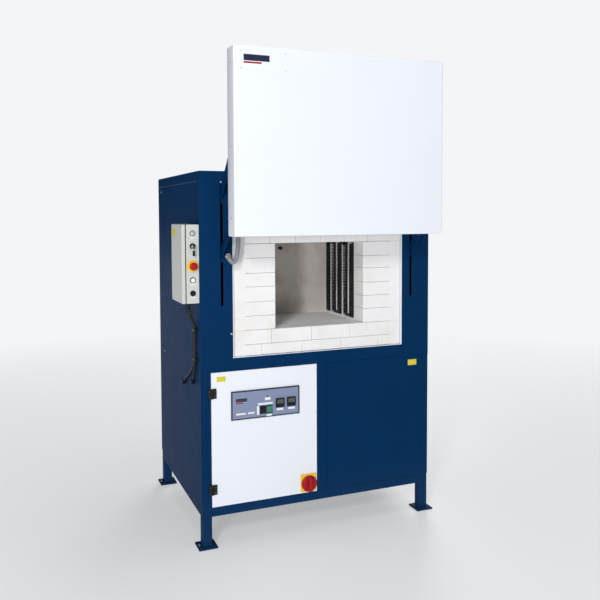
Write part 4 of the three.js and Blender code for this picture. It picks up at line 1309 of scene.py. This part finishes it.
def make_world():
    world = bpy.data.worlds.new("studio")
    bpy.context.scene.world = world
    world.use_nodes = True
    tree = world.node_tree
    backdrop = tree.nodes["Background"]
    backdrop.inputs["Color"].default_value = WORLD_COLOUR
    backdrop.inputs["Strength"].default_value = WORLD_STRENGTH
    ambient = tree.nodes.new("ShaderNodeBackground")
    ambient.inputs["Color"].default_value = WORLD_COLOUR
    facing = tree.nodes.new("ShaderNodeVectorMath")
    facing.operation = "DOT_PRODUCT"
    facing.inputs[1].default_value = BRIGHT_SIDE
    tree.links.new(tree.nodes.new("ShaderNodeTexCoord").outputs["Generated"], facing.inputs[0])
    strength = tree.nodes.new("ShaderNodeMapRange")
    for key, number in (("From Min", -0.35), ("From Max", 1.0), ("To Min", AMBIENT_LOW),
            ("To Max", AMBIENT_HIGH)):
        strength.inputs[key].default_value = number
    tree.links.new(facing.outputs["Value"], strength.inputs["Value"])
    tree.links.new(strength.outputs["Result"], ambient.inputs["Strength"])
    choose = tree.nodes.new("ShaderNodeMixShader")
    tree.links.new(tree.nodes.new("ShaderNodeLightPath").outputs["Is Camera Ray"], choose.inputs["Fac"])
    tree.links.new(ambient.outputs[0], choose.inputs[1])
    tree.links.new(backdrop.outputs[0], choose.inputs[2])
    tree.links.new(choose.outputs[0], tree.nodes["World Output"].inputs["Surface"])


def add_light(name, location, target, size, power):
    light = bpy.data.lights.new(name, "AREA")
    light.shape = "RECTANGLE"
    light.size, light.size_y = size
    light.energy = power
    obj = bpy.data.objects.new(name, light)
    bpy.context.scene.collection.objects.link(obj)
    obj.location = location
    obj.rotation_euler = (Vector(target) - Vector(location)).to_track_quat("-Z", "Y").to_euler()


def make_lights():
    add_light("key", (-4.9, -6.9, 1.8), (0, 0, 1.2), (0.9, 0.9), 225)
    add_light("upper", (-3.8, -5.8, 4.4), (0, 0, 0.9), (1.2, 1.2), 190)
    add_light("low_fill", (-0.4, -4.6, 0.35), (0, 0, 0.6), (2.0, 0.6), 16)
    add_light("top", (0.8, 0.0, 6.5), (0, 0, 0), (5.0, 5.0), 150)
    add_light("rear", (3.2, 5.6, 3.4), (0, 0.4, 1.0), (3.0, 2.6), 170)


CAMERA_PLACE = (-1580.5, -3573.7, 1733.3)
CAMERA_YAW = 22.25
CAMERA_PITCH = 2.96
CAMERA_ROLL = -0.21
CAMERA_LENS = 43.43
CAMERA_SHIFT = (-0.0018, -0.0833)


def make_camera():
    yaw, pitch, roll = (math.radians(v) for v in (CAMERA_YAW, CAMERA_PITCH, CAMERA_ROLL))
    forward = Vector((math.sin(yaw) * math.cos(pitch), math.cos(yaw) * math.cos(pitch), -math.sin(pitch)))
    level = Vector((math.cos(yaw), -math.sin(yaw), 0))
    above = level.cross(forward)
    right = level * math.cos(roll) + above * math.sin(roll)
    up = -level * math.sin(roll) + above * math.cos(roll)
    data = bpy.data.cameras.new("camera")
    data.sensor_width = 36
    data.lens = CAMERA_LENS
    data.shift_x, data.shift_y = CAMERA_SHIFT
    camera = bpy.data.objects.new("camera", data)
    bpy.context.scene.collection.objects.link(camera)
    basis = Matrix((right, up, -forward)).transposed()
    camera.matrix_world = Matrix.Translation(place(*CAMERA_PLACE)) @ basis.to_4x4()
    bpy.context.scene.camera = camera


make_camera()
make_world()
make_lights()
make_stage()
dress_kept_nodes()
make_front_skin()
make_mouth_trim()
make_screws()
make_anchor_bolts()
make_roof_seam()
make_brickwork()
make_elements()
make_door()
make_lift_details()
make_conduit()
make_station()
make_cables()
make_control_door()
make_bay()

bpy.context.scene.view_settings.view_transform = "Standard"
bpy.context.view_layer.update()
